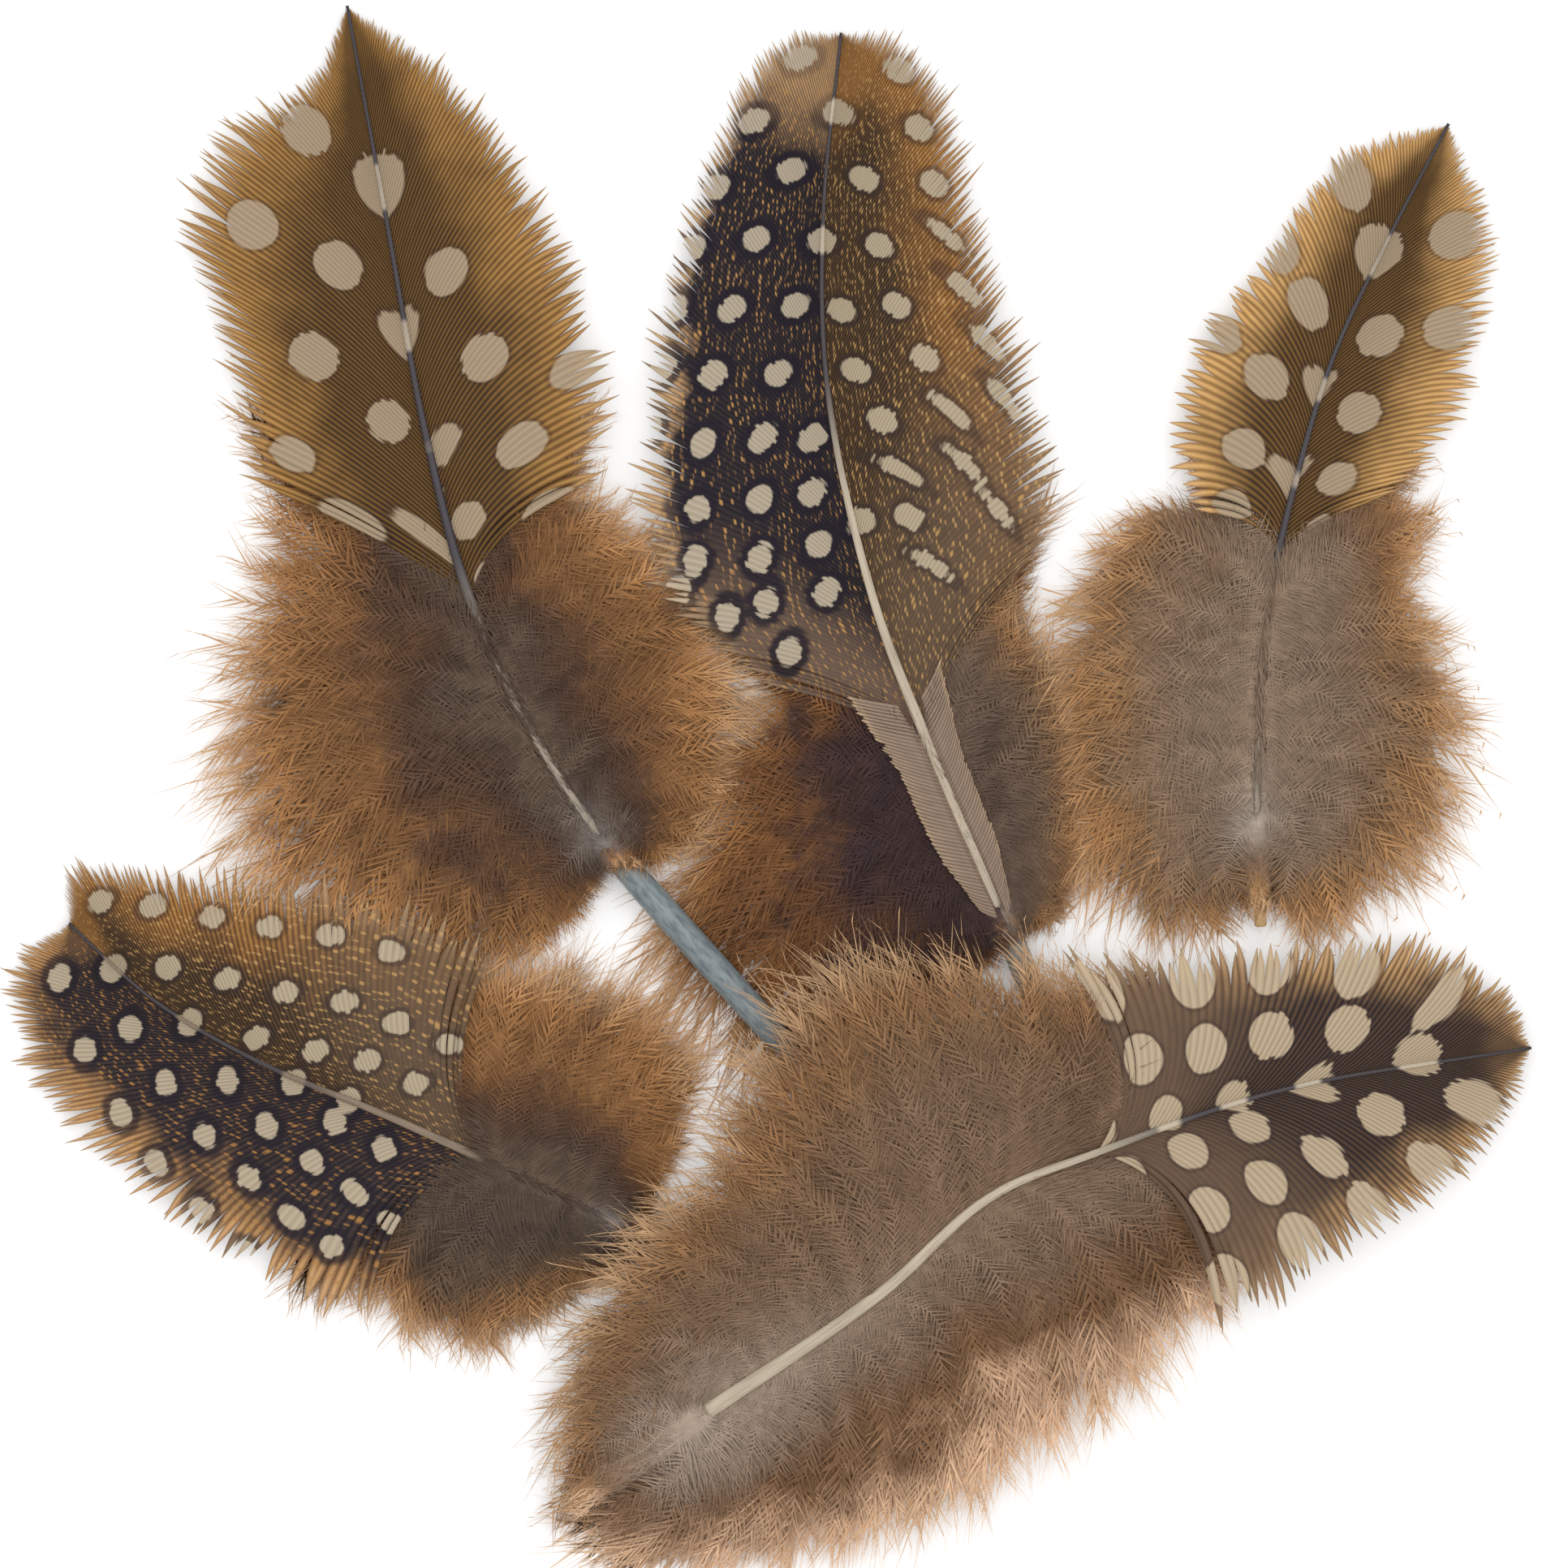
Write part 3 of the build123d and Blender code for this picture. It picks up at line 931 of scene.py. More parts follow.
@dataclass
class VaneSide:
    """The barbs of one side's closed vane.

    Attributes:
        shaft: The shaft's line.
        rim: The vane's edge, from its lowest corner to the tip.
        start: The share of the shaft where the vane begins.
        end: The share of the shaft where its last barb stands.
        side: Which side of the shaft it is on.
        bow: The feather's bow.
        seed: The seed of its small differences.
        angles: The barbs' angle to the shaft at the vane's base and at its tip, in degrees.
        lead: How far their ends lead their roots halfway up, as four times a share of the rim.
        fray: How far the barbs' ends part.
        pitch: The spacing of the barbs along the shaft.
        reach_noise: How unequal the barbs' lengths are.
        camber: How far the rim hangs below the shaft.
        lift: How far the barbs rise from their roots on.
        sink: How far the highest barbs are lowered again.
        loosened: The lowest share of the barbs, which hang apart.
        taper: The last share of a barb, where it narrows.
    """

    shaft: SmoothLine
    rim: SmoothLine
    start: float
    end: float
    side: Side
    bow: Bow
    seed: int
    angles: tuple[float, float] = (34.0, 16.0)
    lead: float = 0.7
    fray: float = 1.0
    pitch: float = BARB_PITCH
    reach_noise: float = 0.035
    camber: float = 0.35
    lift: float = 0.0
    sink: float = 0.0
    loosened: float = 0.05
    taper: float = 0.11

    def place(self, upward: Array, outward: Array) -> Array:
        """Flat points on the barbs.

        Args:
            upward: Which barb, as a share of the way up the vane.
            outward: How far along it, as a share.

        Returns:
            The points.
        """
        upward = np.clip(upward, 0, 1)
        root_share = self.start + (self.end - self.start) * upward
        root = self.shaft.at(root_share)
        tip = self.rim.at(upward + self.lead * upward * (1 - upward))
        angle = np.radians(self.angles[0] + (self.angles[1] - self.angles[0]) * upward)
        sweep = turned(self.shaft.heading(root_share), self.side.value * angle)
        span = np.linalg.norm(tip - root, axis=-1, keepdims=True)
        middle = root + sweep * span * 0.5
        return bent(root, middle, tip, outward)

    def build(self, name: str, mark: Callable[[Array, Array, Array], Array]) -> Mesh:
        """Makes the barbs' mesh.

        Args:
            name: The mesh's name.
            mark: Gives the distance to the nearest spot's edge, from the places on the barbs, the barbs'
                directions there and their numbers.

        Returns:
            The mesh.
        """
        random = np.random.default_rng(self.seed)
        span = self.shaft.length * (self.end - self.start)
        count = max(8, round(span / self.pitch))
        pattern = strip_pattern()
        flat = corners(pattern)
        across, along = flat[:, 0], flat[:, 1]
        number = np.arange(count)
        clump = np.cumsum(random.random(count) < CLUMP_CHANCE)
        middles = np.array([number[clump == c].mean() for c in clump])
        clump_reach = random.normal(0, 1, clump.max() + 1)[clump]
        reach = 1 + self.reach_noise * (0.4 * clump_reach + 0.8 * random.normal(0, 1, count))
        reach = np.clip(reach, SHORTEST_BARB, 1.1)
        outward = along[None, :] * reach[:, None]
        parting = np.clip((outward - PARTING_FROM) / 0.22, 0, 1.3) ** 1.5
        drawn = (middles - number)[:, None] * 0.07 * parting * self.fray
        drawn = drawn + random.normal(0, 0.36, count)[:, None] * parting * self.fray
        low = np.clip((self.loosened - number / count) / max(self.loosened, 1e-6), 0, 1)[:, None]
        drawn = drawn + random.normal(0, 0.4, count)[:, None] * low * np.clip(outward, 0, 1) ** 1.5
        centre_up = (number[:, None] + 0.5 + drawn) / count
        edge_up = centre_up + across[None, :] * 0.5 / count
        centre = self.place(centre_up, outward)
        edge = self.place(edge_up, outward)
        ending = np.clip((along[None, :] - 1 + self.taper) / self.taper, 0, 1) ** 1.4
        loose = np.clip((self.loosened - centre_up) / max(self.loosened, 1e-6), 0, 1)
        loose = loose * np.clip(outward * 2.5, 0, 1)
        width = (1.06 - 0.3 * parting * self.fray) * (1 - 0.9 * ending) * (1 - 0.3 * loose)
        flat_places = centre + (edge - centre) * width[..., None]
        ahead = unit(self.place(centre_up, outward + 0.02) - centre)
        rib = (1 - np.abs(across))[None, :] * RIB_HEIGHT
        drop = self.camber * outward**2
        stray = random.normal(0, 0.16, count)[:, None] * parting * outward
        stray = stray + random.normal(0, 0.3, count)[:, None] * loose * outward - 0.25 * loose
        sunk = self.sink * np.clip((centre_up - SINK_FROM) / 0.12, 0, 1)
        height = self.bow.height(centre) + rib - drop + stray + self.lift * np.clip(outward * 4, 0, 1) - sunk
        places = np.dstack([flat_places, np.maximum(height, LOWEST_BARB)])
        barb = np.broadcast_to(number[:, None] + 0.0, outward.shape)
        whole = self.place(centre_up, np.ones_like(outward)) - self.place(centre_up, np.zeros_like(outward))
        length = np.linalg.norm(whole, axis=-1)
        distance = mark(flat_places, ahead, number)
        mesh = repeated(pattern, count, name)
        write_shape(mesh, places.reshape(-1, 3))
        lie = np.dstack([outward * length, np.broadcast_to(centre_up, outward.shape), outward])
        marks = np.dstack([distance, np.broadcast_to(across[None, :], outward.shape), barb])
        write_attribute(mesh, "lie", lie.reshape(-1, 3))
        write_attribute(mesh, "mark", marks.reshape(-1, 3))
        return mesh


@dataclass(frozen=True)
class Barrel:
    """Where a quill lies, for the down that it lies under or over.

    Attributes:
        start: Its collar.
        end: Its end.
        radius: Its outside radius.
    """

    start: Point3
    end: Point3
    radius: float

    def clear(self, flat: Array, height: Array, beneath: bool) -> Array:
        """Heights that pass over or beneath the quill.

        Args:
            flat: Flat points.
            height: Their heights.
            beneath: Whether they pass beneath it.

        Returns:
            The heights, changed only where the quill is.
        """
        start, end = np.array(self.start), np.array(self.end)
        run = end[:2] - start[:2]
        share = ((flat - start[:2]) @ run) / float(run @ run)
        along = np.clip(share, 0, 1)
        aside = np.linalg.norm(flat - (start[:2] + along[..., None] * run), axis=-1)
        reach = self.radius + BARREL_GAP
        rise = np.sqrt(np.clip(reach**2 - aside**2, 0, None))
        axis = start[2] + along * (end[2] - start[2])
        near = aside < reach
        if beneath:
            return np.where(near, np.minimum(height, np.maximum(axis - rise - 0.05, 0.04)), height)
        return np.where(near, np.maximum(height, axis + rise), height)


def strand_lines(root: Array, middle: Array, tip: Array, share: Array) -> tuple[Array, Array]:
    """Flat points on each strand's bent line, and the directions to its left there.

    Args:
        root: Where the strands start.
        middle: The points that they bend towards.
        tip: Where they end.
        share: How far along each point is, one row for each strand.

    Returns:
        The points and the directions.
    """
    lines = root[:, None], middle[:, None], tip[:, None]
    along = bent(*lines, share)
    return along, left_of(unit(bent(*lines, share + 0.01) - along))


def strand_mesh(
    pattern: Mesh, name: str, places: Array, outward: Array, upward: Array,
    random: np.random.Generator,
) -> Mesh:
    """The mesh of many strands, with the attribute that their material reads.

    Args:
        pattern: One strand.
        name: The mesh's name.
        places: The vertices' places, one row for each strand.
        outward: How far out they are, as a share.
        upward: How far up each strand stands, as a share.
        random: The seeded source of the strands' own numbers.

    Returns:
        The mesh.
    """
    count = len(places)
    mesh = repeated(pattern, count, name)
    write_shape(mesh, places.reshape(-1, 3))
    up = np.broadcast_to(upward[:, None], outward.shape)
    own = np.broadcast_to(random.uniform(0, 1, count)[:, None], outward.shape)
    write_attribute(mesh, "lie", np.dstack([outward, up, own]).reshape(-1, 3))
    return mesh


@dataclass
class DownSide:
    """The loose down on one side of the shaft's base.

    Attributes:
        shaft: The shaft's line.
        rim: The down's edge, from the collar to the vane's lowest corner.
        start: The share of the shaft where the lowest strand stands.
        end: The share of the shaft where the highest strand stands.
        side: Which side of the shaft it is on.
        bow: The feather's bow.
        seed: The seed of its small differences.
        strands: How many strands there are.
        droop: How far the rim hangs below the shaft.
        thickness: How far the strands rise and fall.
        barbule: The barbules' mean length.
        back: How far the lowest strands point back towards the quill's end, from 0 to 1.
        veil: How soon the strands rise into their layer. A small number keeps them low for longer.
        over: The quills that the down passes over.
        beneath: The quills that it passes beneath.
    """

    shaft: SmoothLine
    rim: SmoothLine
    start: float
    end: float
    side: Side
    bow: Bow
    seed: int
    strands: int = STRANDS
    droop: float = USUAL_DROOP
    thickness: float = 0.8
    barbule: float = 1.5
    back: float = 0.0
    veil: float = USUAL_VEIL
    over: Sequence[Barrel] = ()
    beneath: Sequence[Barrel] = ()

    def build(self, name: str) -> Mesh:
        """Makes the strands' mesh.

        Args:
            name: The mesh's name.

        Returns:
            The mesh.
        """
        random = np.random.default_rng(self.seed)
        patterns = [plume_pattern(random, self.barbule, 0.06, 0.2) for _ in range(PLUME_KINDS)]
        shapes = np.stack([corners(pattern) for pattern in patterns])
        count = self.strands
        kind = random.integers(0, PLUME_KINDS, count)
        shape = shapes[kind]
        upward = np.sort(random.uniform(0, 1, count))
        layer = random.integers(0, 3, count)
        full = np.array(LAYER_REACH)[layer] * random.uniform(0.82, 1.05, count) * DOWN_REACH
        root_share = self.start + (self.end - self.start) * upward**1.5
        root = self.shaft.at(root_share)
        wander = np.clip(upward + random.normal(0, 0.045, count), 0.0, 1.0)
        tip = root + (self.rim.at(wander) - root) * full[:, None]
        lowest = 75 + 75 * self.back
        degrees = np.interp(upward, [0, 0.1, 0.32, 1], [lowest, 75, 42, 34])
        angle = np.radians(degrees + random.normal(0, 9, count))
        sweep = turned(self.shaft.heading(root_share), self.side.value * angle)
        span = np.linalg.norm(tip - root, axis=-1)
        middle = root + sweep * (span * random.uniform(0.35, 0.6, count))[:, None]
        q = np.clip(shape[:, :, 0], -0.05, 1.15)
        along, normal = strand_lines(root, middle, tip, q)
        turns = random.uniform(1.0, 2.4, count)[:, None]
        phase = random.uniform(0, 2 * math.pi, count)[:, None]
        swing = random.uniform(0.15, 0.7, count)[:, None]
        curl = np.sin(q * turns * 2 * math.pi + phase) * swing * np.clip(q, 0, 1)
        fluff = np.interp(q, [0, 0.12, 0.8, 1.0], [0.25, 0.9, 1.15, 0.6])
        aside = curl + shape[:, :, 1] * fluff
        flat_places = along + normal * aside[..., None]
        rest = np.array(LAYER_REST)[layer][:, None] * self.thickness
        rolling = np.sin(q * 4.0 + phase * 1.7) * 0.3 * self.thickness
        height = self.bow.height(along) + rest * np.clip(q * self.veil, 0, 1) + rolling * q
        hanging = self.droop + 0.4 * (layer == 2)[:, None]
        height += shape[:, :, 2] * fluff - hanging * np.clip(q, 0, 1) ** 1.6
        tucked = np.interp(upward, [0.84, 0.95], [0.0, 0.9]) * np.where(layer == 0, 1.0, 0.8)
        height -= tucked[:, None]
        for barrel in self.over:
            height = barrel.clear(flat_places, height, beneath=False)
        for barrel in self.beneath:
            height = barrel.clear(flat_places, height, beneath=True)
        places = np.dstack([flat_places, np.maximum(height, LOWEST_STRAND)])
        return strand_mesh(patterns[0], name, places, q * full[:, None], upward, random)


@dataclass
class Afterfeather:
    """The small feather of loose down under the base, between it and the surface.

    Attributes:
        collar: Where its shaft leaves the quill.
        middle: The middle of its patch of down.
        long_radius: The patch's half length.
        short_radius: Its half width.
        turn: The direction of its length, in degrees.
        top: How high it reaches.
        seed: The seed of its small differences.
        strands: How many strands there are.
    """

    collar: Point
    middle: Point
    long_radius: float
    short_radius: float
    turn: float
    top: float
    seed: int
    strands: int = 56

    def build(self, name: str) -> Mesh:
        """Makes the strands' mesh.

        Args:
            name: The mesh's name.

        Returns:
            The mesh.
        """
        random = np.random.default_rng(self.seed)
        pattern = plume_pattern(random, 1.5, 0.12, 0.25)
        shape = corners(pattern)
        count = self.strands
        axis = np.array([math.cos(math.radians(self.turn)), math.sin(math.radians(self.turn))])
        if np.dot(np.subtract(self.middle, self.collar), axis) < 0:
            axis = -axis
        share = np.sort(random.uniform(0, 1, count))
        sign = np.where(random.random(count) < 0.5, 1.0, -1.0)
        near = np.subtract(self.middle, axis * self.long_radius * 0.9)
        root = near + axis * (share * self.long_radius * 1.4)[:, None]
        bearing = sign * np.interp(share, [0, 1], [math.radians(100), math.radians(12)])
        out = turned(np.broadcast_to(axis, (count, 2)), bearing)
        radius = np.hypot(out @ axis * self.long_radius, (1 - (out @ axis) ** 2) ** 0.5 * self.short_radius)
        tip = np.array(self.middle) + out * (radius * random.uniform(0.85, 1.12, count))[:, None]
        sweep = turned(np.broadcast_to(axis, (count, 2)), sign * math.radians(30))
        span = np.linalg.norm(tip - root, axis=-1)
        middle = root + sweep * (span * 0.45)[:, None]
        q = np.broadcast_to(np.clip(shape[:, 0], 0, 1.1), (count, len(shape)))
        along, normal = strand_lines(root, middle, tip, q)
        phase = random.uniform(0, 2 * math.pi, count)[:, None]
        aside = shape[:, 1] + np.sin(q * 8 + phase) * 0.3 * q
        level = random.uniform(0.12, max(self.top - 0.1, 0.2), count)[:, None]
        height = level + shape[:, 2] * 0.5 - 0.2 * q
        height = np.clip(height, LOWEST_UNDERDOWN, self.top)
        places = np.dstack([along + normal * aside[..., None], height])
        return strand_mesh(pattern, name, places, q, share, random)


@dataclass
class Quill:
    """The bare hollow barrel, a little drawn in below the collar, with a tapered end and its navel.

    Attributes:
        end: The quill's end.
        collar: Where the shaft leaves it.
        radius: Its outside radius.
    """

    end: Array
    collar: Array
    radius: float

    def build(self, name: str) -> Mesh:
        """Makes the barrel's mesh, by turning its outline round the axis.

        Args:
            name: The mesh's name.

        Returns:
            The mesh.
        """
        length = float(np.linalg.norm(self.collar - self.end))
        point = min(QUILL_POINT * self.radius / QUILL_RADIUS, 0.4 * length)
        bore = self.radius - QUILL_WALL
        top = length - COLLAR_WALL
        profile = [
            (0.0, top),
            (bore, top),
            (bore, point),
            (NAVEL_RADIUS, 0.0),
            (NAVEL_RADIUS + 0.55 * QUILL_WALL, -0.04),
            (NAVEL_RADIUS + QUILL_WALL, 0.05),
            (0.6 * self.radius, 0.42 * point),
            (0.86 * self.radius, 0.75 * point),
            (0.97 * self.radius, point),
            (self.radius, 0.45 * length + 0.3 * point),
            (0.98 * self.radius, 0.8 * length),
            (0.86 * self.radius, 0.95 * length),
            (0.6 * self.radius, length),
            (0.0, length + 0.02),
        ]
        bm = bmesh.new()
        verts = [bm.verts.new((r, 0, z)) for r, z in profile]
        edges = [bm.edges.new(pair) for pair in zip(verts, verts[1:])]
        bmesh.ops.spin(
            bm, geom=[*verts, *edges], cent=(0, 0, 0), axis=(0, 0, 1), angle=2 * math.pi, steps=28,
            use_merge=True,
        )
        bmesh.ops.remove_doubles(bm, verts=bm.verts, dist=0.001)
        long_edges = [e for e in bm.edges if abs(e.verts[0].co.z - e.verts[1].co.z) > 0.6]
        bmesh.ops.subdivide_edges(bm, edges=long_edges, cuts=4, use_grid_fill=True)
        bmesh.ops.recalc_face_normals(bm, faces=bm.faces)
        lie = np.array([
            (v.co.z / length, math.atan2(v.co.y, v.co.x) / math.pi, FAR_FROM_SPOTS) for v in bm.verts
        ])
        axis = Vector(self.collar - self.end).to_track_quat("Z", "Y").to_matrix().to_4x4()
        bmesh.ops.transform(bm, matrix=Matrix.Translation(Vector(self.end)) @ axis, verts=bm.verts)
        bmesh.ops.scale(bm, vec=(MM, MM, MM), verts=bm.verts)
        for face in bm.faces:
            face.smooth = True
        mesh = mesh_from(bm, name)
        write_attribute(mesh, "lie", lie)
        return mesh


@dataclass
class Shaft:
    """The horn of the shaft: square with rounded corners, and tapered from the collar to the tip.

    Attributes:
        line: The shaft's line.
        bow: The feather's bow.
        half: Half its width and height at the collar.
        taper: How soon it thins, where 1 is evenly.
        tip: Half its width at the tip.
    """

    line: SmoothLine
    bow: Bow
    half: float
    taper: float = 1.6
    tip: float = SHAFT_TIP_HALF

    def build(self, name: str, mark: Callable[[Array], Array]) -> Mesh:
        """Makes the shaft's mesh, ring after ring.

        Args:
            name: The mesh's name.
            mark: Gives the distance to the nearest spot's edge.

        Returns:
            The mesh.
        """
        bm = bmesh.new()
        bmesh.ops.create_circle(bm, cap_ends=True, radius=1.0, segments=16)
        ring = [edge for edge in bm.edges if edge.is_boundary]
        for _ in range(SHAFT_RINGS):
            grown = bmesh.ops.extrude_edge_only(bm, edges=ring)["geom"]
            fresh = [item for item in grown if isinstance(item, bmesh.types.BMVert)]
            bmesh.ops.translate(bm, vec=(0, 0, 1), verts=fresh)
            ring = [e for e in grown if isinstance(e, bmesh.types.BMEdge) and set(e.verts) <= set(fresh)]
        bmesh.ops.contextual_create(bm, geom=ring)
        bmesh.ops.recalc_face_normals(bm, faces=bm.faces)
        mesh = mesh_from(bm, name)
        flat = corners(mesh)
        share = flat[:, 2] / SHAFT_RINGS
        square = flat[:, :2] / np.maximum(np.abs(flat[:, :2]).max(axis=1, keepdims=True), 1e-9)
        section = 0.72 * square + 0.28 * flat[:, :2]
        half = self.tip + (self.half - self.tip) * (1 - share) ** self.taper
        centre = self.line.at(share)
        heading = self.line.heading(share)
        normal = left_of(heading)
        places = np.column_stack([
            centre + normal * (section[:, 0] * half)[:, None],
            self.bow.height(centre) + section[:, 1] * half,
        ])
        mesh.vertices.foreach_set("co", (places * MM).astype(np.float32).ravel())
        mesh.polygons.foreach_set("use_smooth", np.ones(len(mesh.polygons), bool))
        mesh.update()
        around = np.arctan2(flat[:, 1], flat[:, 0]) / math.pi
        write_attribute(mesh, "lie", np.column_stack([share, around, mark(centre)]))
        return mesh


Finish = VaneFinish | DownFinish | HornFinish


class Wardrobe:
    """The materials, each made once from its finish."""

    def __init__(self) -> None:
        """Makes the shared shader groups."""
        self.effects = Effects()
        self.made: dict[str, Material] = {}

    def of(self, finish: Finish) -> Material:
        """A finish's material."""
        if finish.name not in self.made:
            self.made[finish.name] = finish.build(self.effects)
        return self.made[finish.name]


@dataclass
class Dress:
    """The finishes of one feather's pieces and the record's slots that they stand for."""

    vanes: dict[Side, VaneFinish]
    downs: dict[Side, DownFinish]
    after: DownFinish
    quill: HornFinish
    shaft: HornFinish
    quill_slot: str
    shaft_slot: str
    vane_slot: str


@dataclass
class Feather:
    """One feather of the spread, with its outlines seen from above, as in the CAD model.

    Attributes:
        name: Its body's name.
        size: The scale of its quill and shaft.
        quill_end: The quill's end, as drawn.
        shaft: The shaft's points from the collar to the tip.
        vane_from: Which of them the closed vane begins at.
        left_vane: The left vane's edge from the tip down, and in the same way for the others.
        heights: The shaft's height at the quill's end, halfway and at the tip.
        after: The afterfeather's middle, half length, half width and direction in degrees.
        dress: Its finishes.
        seed: The seed of its small differences.
        spots: The large spots.
        droop: How far the down's rims hang below the shaft.
        fray: How far the barbs' ends part.
        pitch: The spacing of the barbs.
        strands: How many strands of down each side has.
        covered: The share of the quill that the down reaches back over.
        veil: How soon the down rises into its layers.
        beneath: The feathers whose quills pass over its down.
        strips: The width of the narrow strip beside the lower shaft, where there is one.
    """

    name: str
    size: float
    quill_end: Point
    shaft: list[Point]
    vane_from: int
    left_vane: list[Point]
    left_down: list[Point]
    right_vane: list[Point]
    right_down: list[Point]
    heights: tuple[float, float, float]
    after: tuple[Point, float, float, float]
    dress: Dress
    seed: int
    spots: list[Spot] = field(default_factory=list)
    droop: dict[Side, float] = field(default_factory=lambda: both(USUAL_DROOP))
    fray: dict[Side, float] = field(default_factory=lambda: both(1.0))
    pitch: float = BARB_PITCH
    strands: int = STRANDS
    covered: float = 0.0
    veil: float = USUAL_VEIL
    beneath: tuple[str, ...] = ()
    strips: dict[Side, float] = field(default_factory=dict)

    def settle(self) -> None:
        """Moves the drawn points to where the CAD model has them, and works out the lines."""
        low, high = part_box(f"{self.name}_shaft")
        drawn = SmoothLine(self.shaft).points
        middle = (np.array((low + high)[:2]) / 2) / MM
        self.shift = middle - (drawn.min(axis=0) + drawn.max(axis=0)) / 2
        self.line = SmoothLine(self.moved(self.shaft))
        end, tip = self.moved([self.quill_end])[0], self.moved([self.shaft[-1]])[0]
        self.bow = Bow(end, tip, self.heights)
        self.end = end
        self.collar = self.moved([self.shaft[0]])[0]
        radius = QUILL_RADIUS * self.size
        self.barrel = Barrel(tuple(self.raised(self.collar)), tuple(self.raised(end)), radius)

    def moved(self, points: Sequence[Point]) -> list[Point]:
        """Drawn points in the frame."""
        return [(x + float(self.shift[0]), y + float(self.shift[1])) for x, y in points]

    def raised(self, point: Point) -> Array:
        """A flat point at the shaft's height, in millimetres."""
        return np.array([*point, float(self.bow.height(np.array(point)))])

    def to_spots(self, places: Array) -> Array:
        """Distances from flat points to the nearest spot's edge, in millimetres."""
        nearest = np.full(len(places), FAR_FROM_SPOTS)
        for spot in self.spots:
            away = np.linalg.norm(places - (np.array([spot.x, spot.y]) + self.shift), axis=-1)
            nearest = np.minimum(nearest, away - min(spot.along, spot.across))
        return nearest

    def mark(self, places: Array, ahead: Array, number: Array) -> Array:
        """Distances to the nearest spot's edge, a little uneven from barb to barb.

        Args:
            places: Flat points on the barbs.
            ahead: The barbs' directions there.
            number: The barbs' numbers.

        Returns:
            The distances, in millimetres, negative inside a spot.
        """
        nearest = np.full(places.shape[:2], FAR_FROM_SPOTS)
        aside = np.stack([-ahead[..., 1], ahead[..., 0]], axis=-1)
        for spot in self.spots:
            away = places - (np.array([spot.x, spot.y]) + self.shift)
            lengthways = (away * ahead).sum(axis=-1) / spot.along
            sideways = (away * aside).sum(axis=-1) / spot.across
            radius = np.hypot(lengthways, sideways)
            nearest = np.minimum(nearest, (radius - 1) * min(spot.along, spot.across))
        uneven = np.random.default_rng(self.seed + 5).normal(0, 0.06, len(number))
        return nearest + uneven[:, None]

    def build(self, wardrobe: Wardrobe, barrels: dict[str, Barrel]) -> int:
        """Makes the feather's pieces.

        Args:
            wardrobe: Gives the finishes' materials.
            barrels: Where every feather's quill lies.

        Returns:
            How many pieces there are.
        """
        before = len(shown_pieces())
        self.wardrobe = wardrobe
        for side in Side:
            self._side(side, barrels)
            if side in self.strips:
                self._strip(side)
        middle, long_radius, short_radius, turn = self.after
        place = self.moved([middle])[0]
        hanging = max(self.droop[Side.RIGHT] - USUAL_DROOP, 0)
        top = float(self.bow.height(np.array(place))) - UNDER_GAP - DROOP_SHARE * hanging
        after = Afterfeather(self.collar, place, long_radius, short_radius, turn, top, self.seed + 40)
        self._piece("underfluff", "afterfeather", after.build, "afterfeather_down", self.dress.after)
        quill = Quill(self.raised(self.end), self.raised(self.collar), QUILL_RADIUS * self.size)
        self._piece("barrel", "quill", quill.build, self.dress.quill_slot, self.dress.quill)
        for part, node, half, slot, finish in (
            ("rachis", "shaft", SHAFT_HALF, self.dress.shaft_slot, self.dress.shaft),
            ("rachis_core", "pith", SHAFT_HALF - SHAFT_CORTEX, "pith", PITH),
        ):
            shaft = Shaft(self.line, self.bow, half * self.size, tip=SHAFT_TIP_HALF * half / SHAFT_HALF)
            self._piece(part, node, partial(shaft.build, mark=self.to_spots), slot, finish)
        for node, finish in (("pulp_caps", PULP_CAP), ("aftershaft", SMALL_SHAFT)):
            inner = frame["nodes"][f"{self.name}_{node}"]
            inner.data.materials.clear()
            inner.data.materials.append(wardrobe.of(finish))
        return len(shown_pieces()) - before

    def _piece(
        self, part: str, node: str | None, maker: Callable[[str], Mesh], slot: str,
        finish: Finish,
    ) -> None:
        """Makes a piece that rides on the feather's body.

        Args:
            part: The piece's name within the feather.
            node: The CAD node that it replaces, if it replaces one, named in the same way.
            maker: Makes its mesh, given the name.
            slot: The record's material slot; not used.
            finish: Its finish.
        """
        name = f"{self.name}_{part}"
        mesh = maker(name)
        piece = bpy.data.objects.new(name, mesh)
        bpy.context.scene.collection.objects.link(piece)
        mesh.materials.append(self.wardrobe.of(finish))
        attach(piece, self.name)
        if node:
            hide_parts(f"{self.name}_{node}")

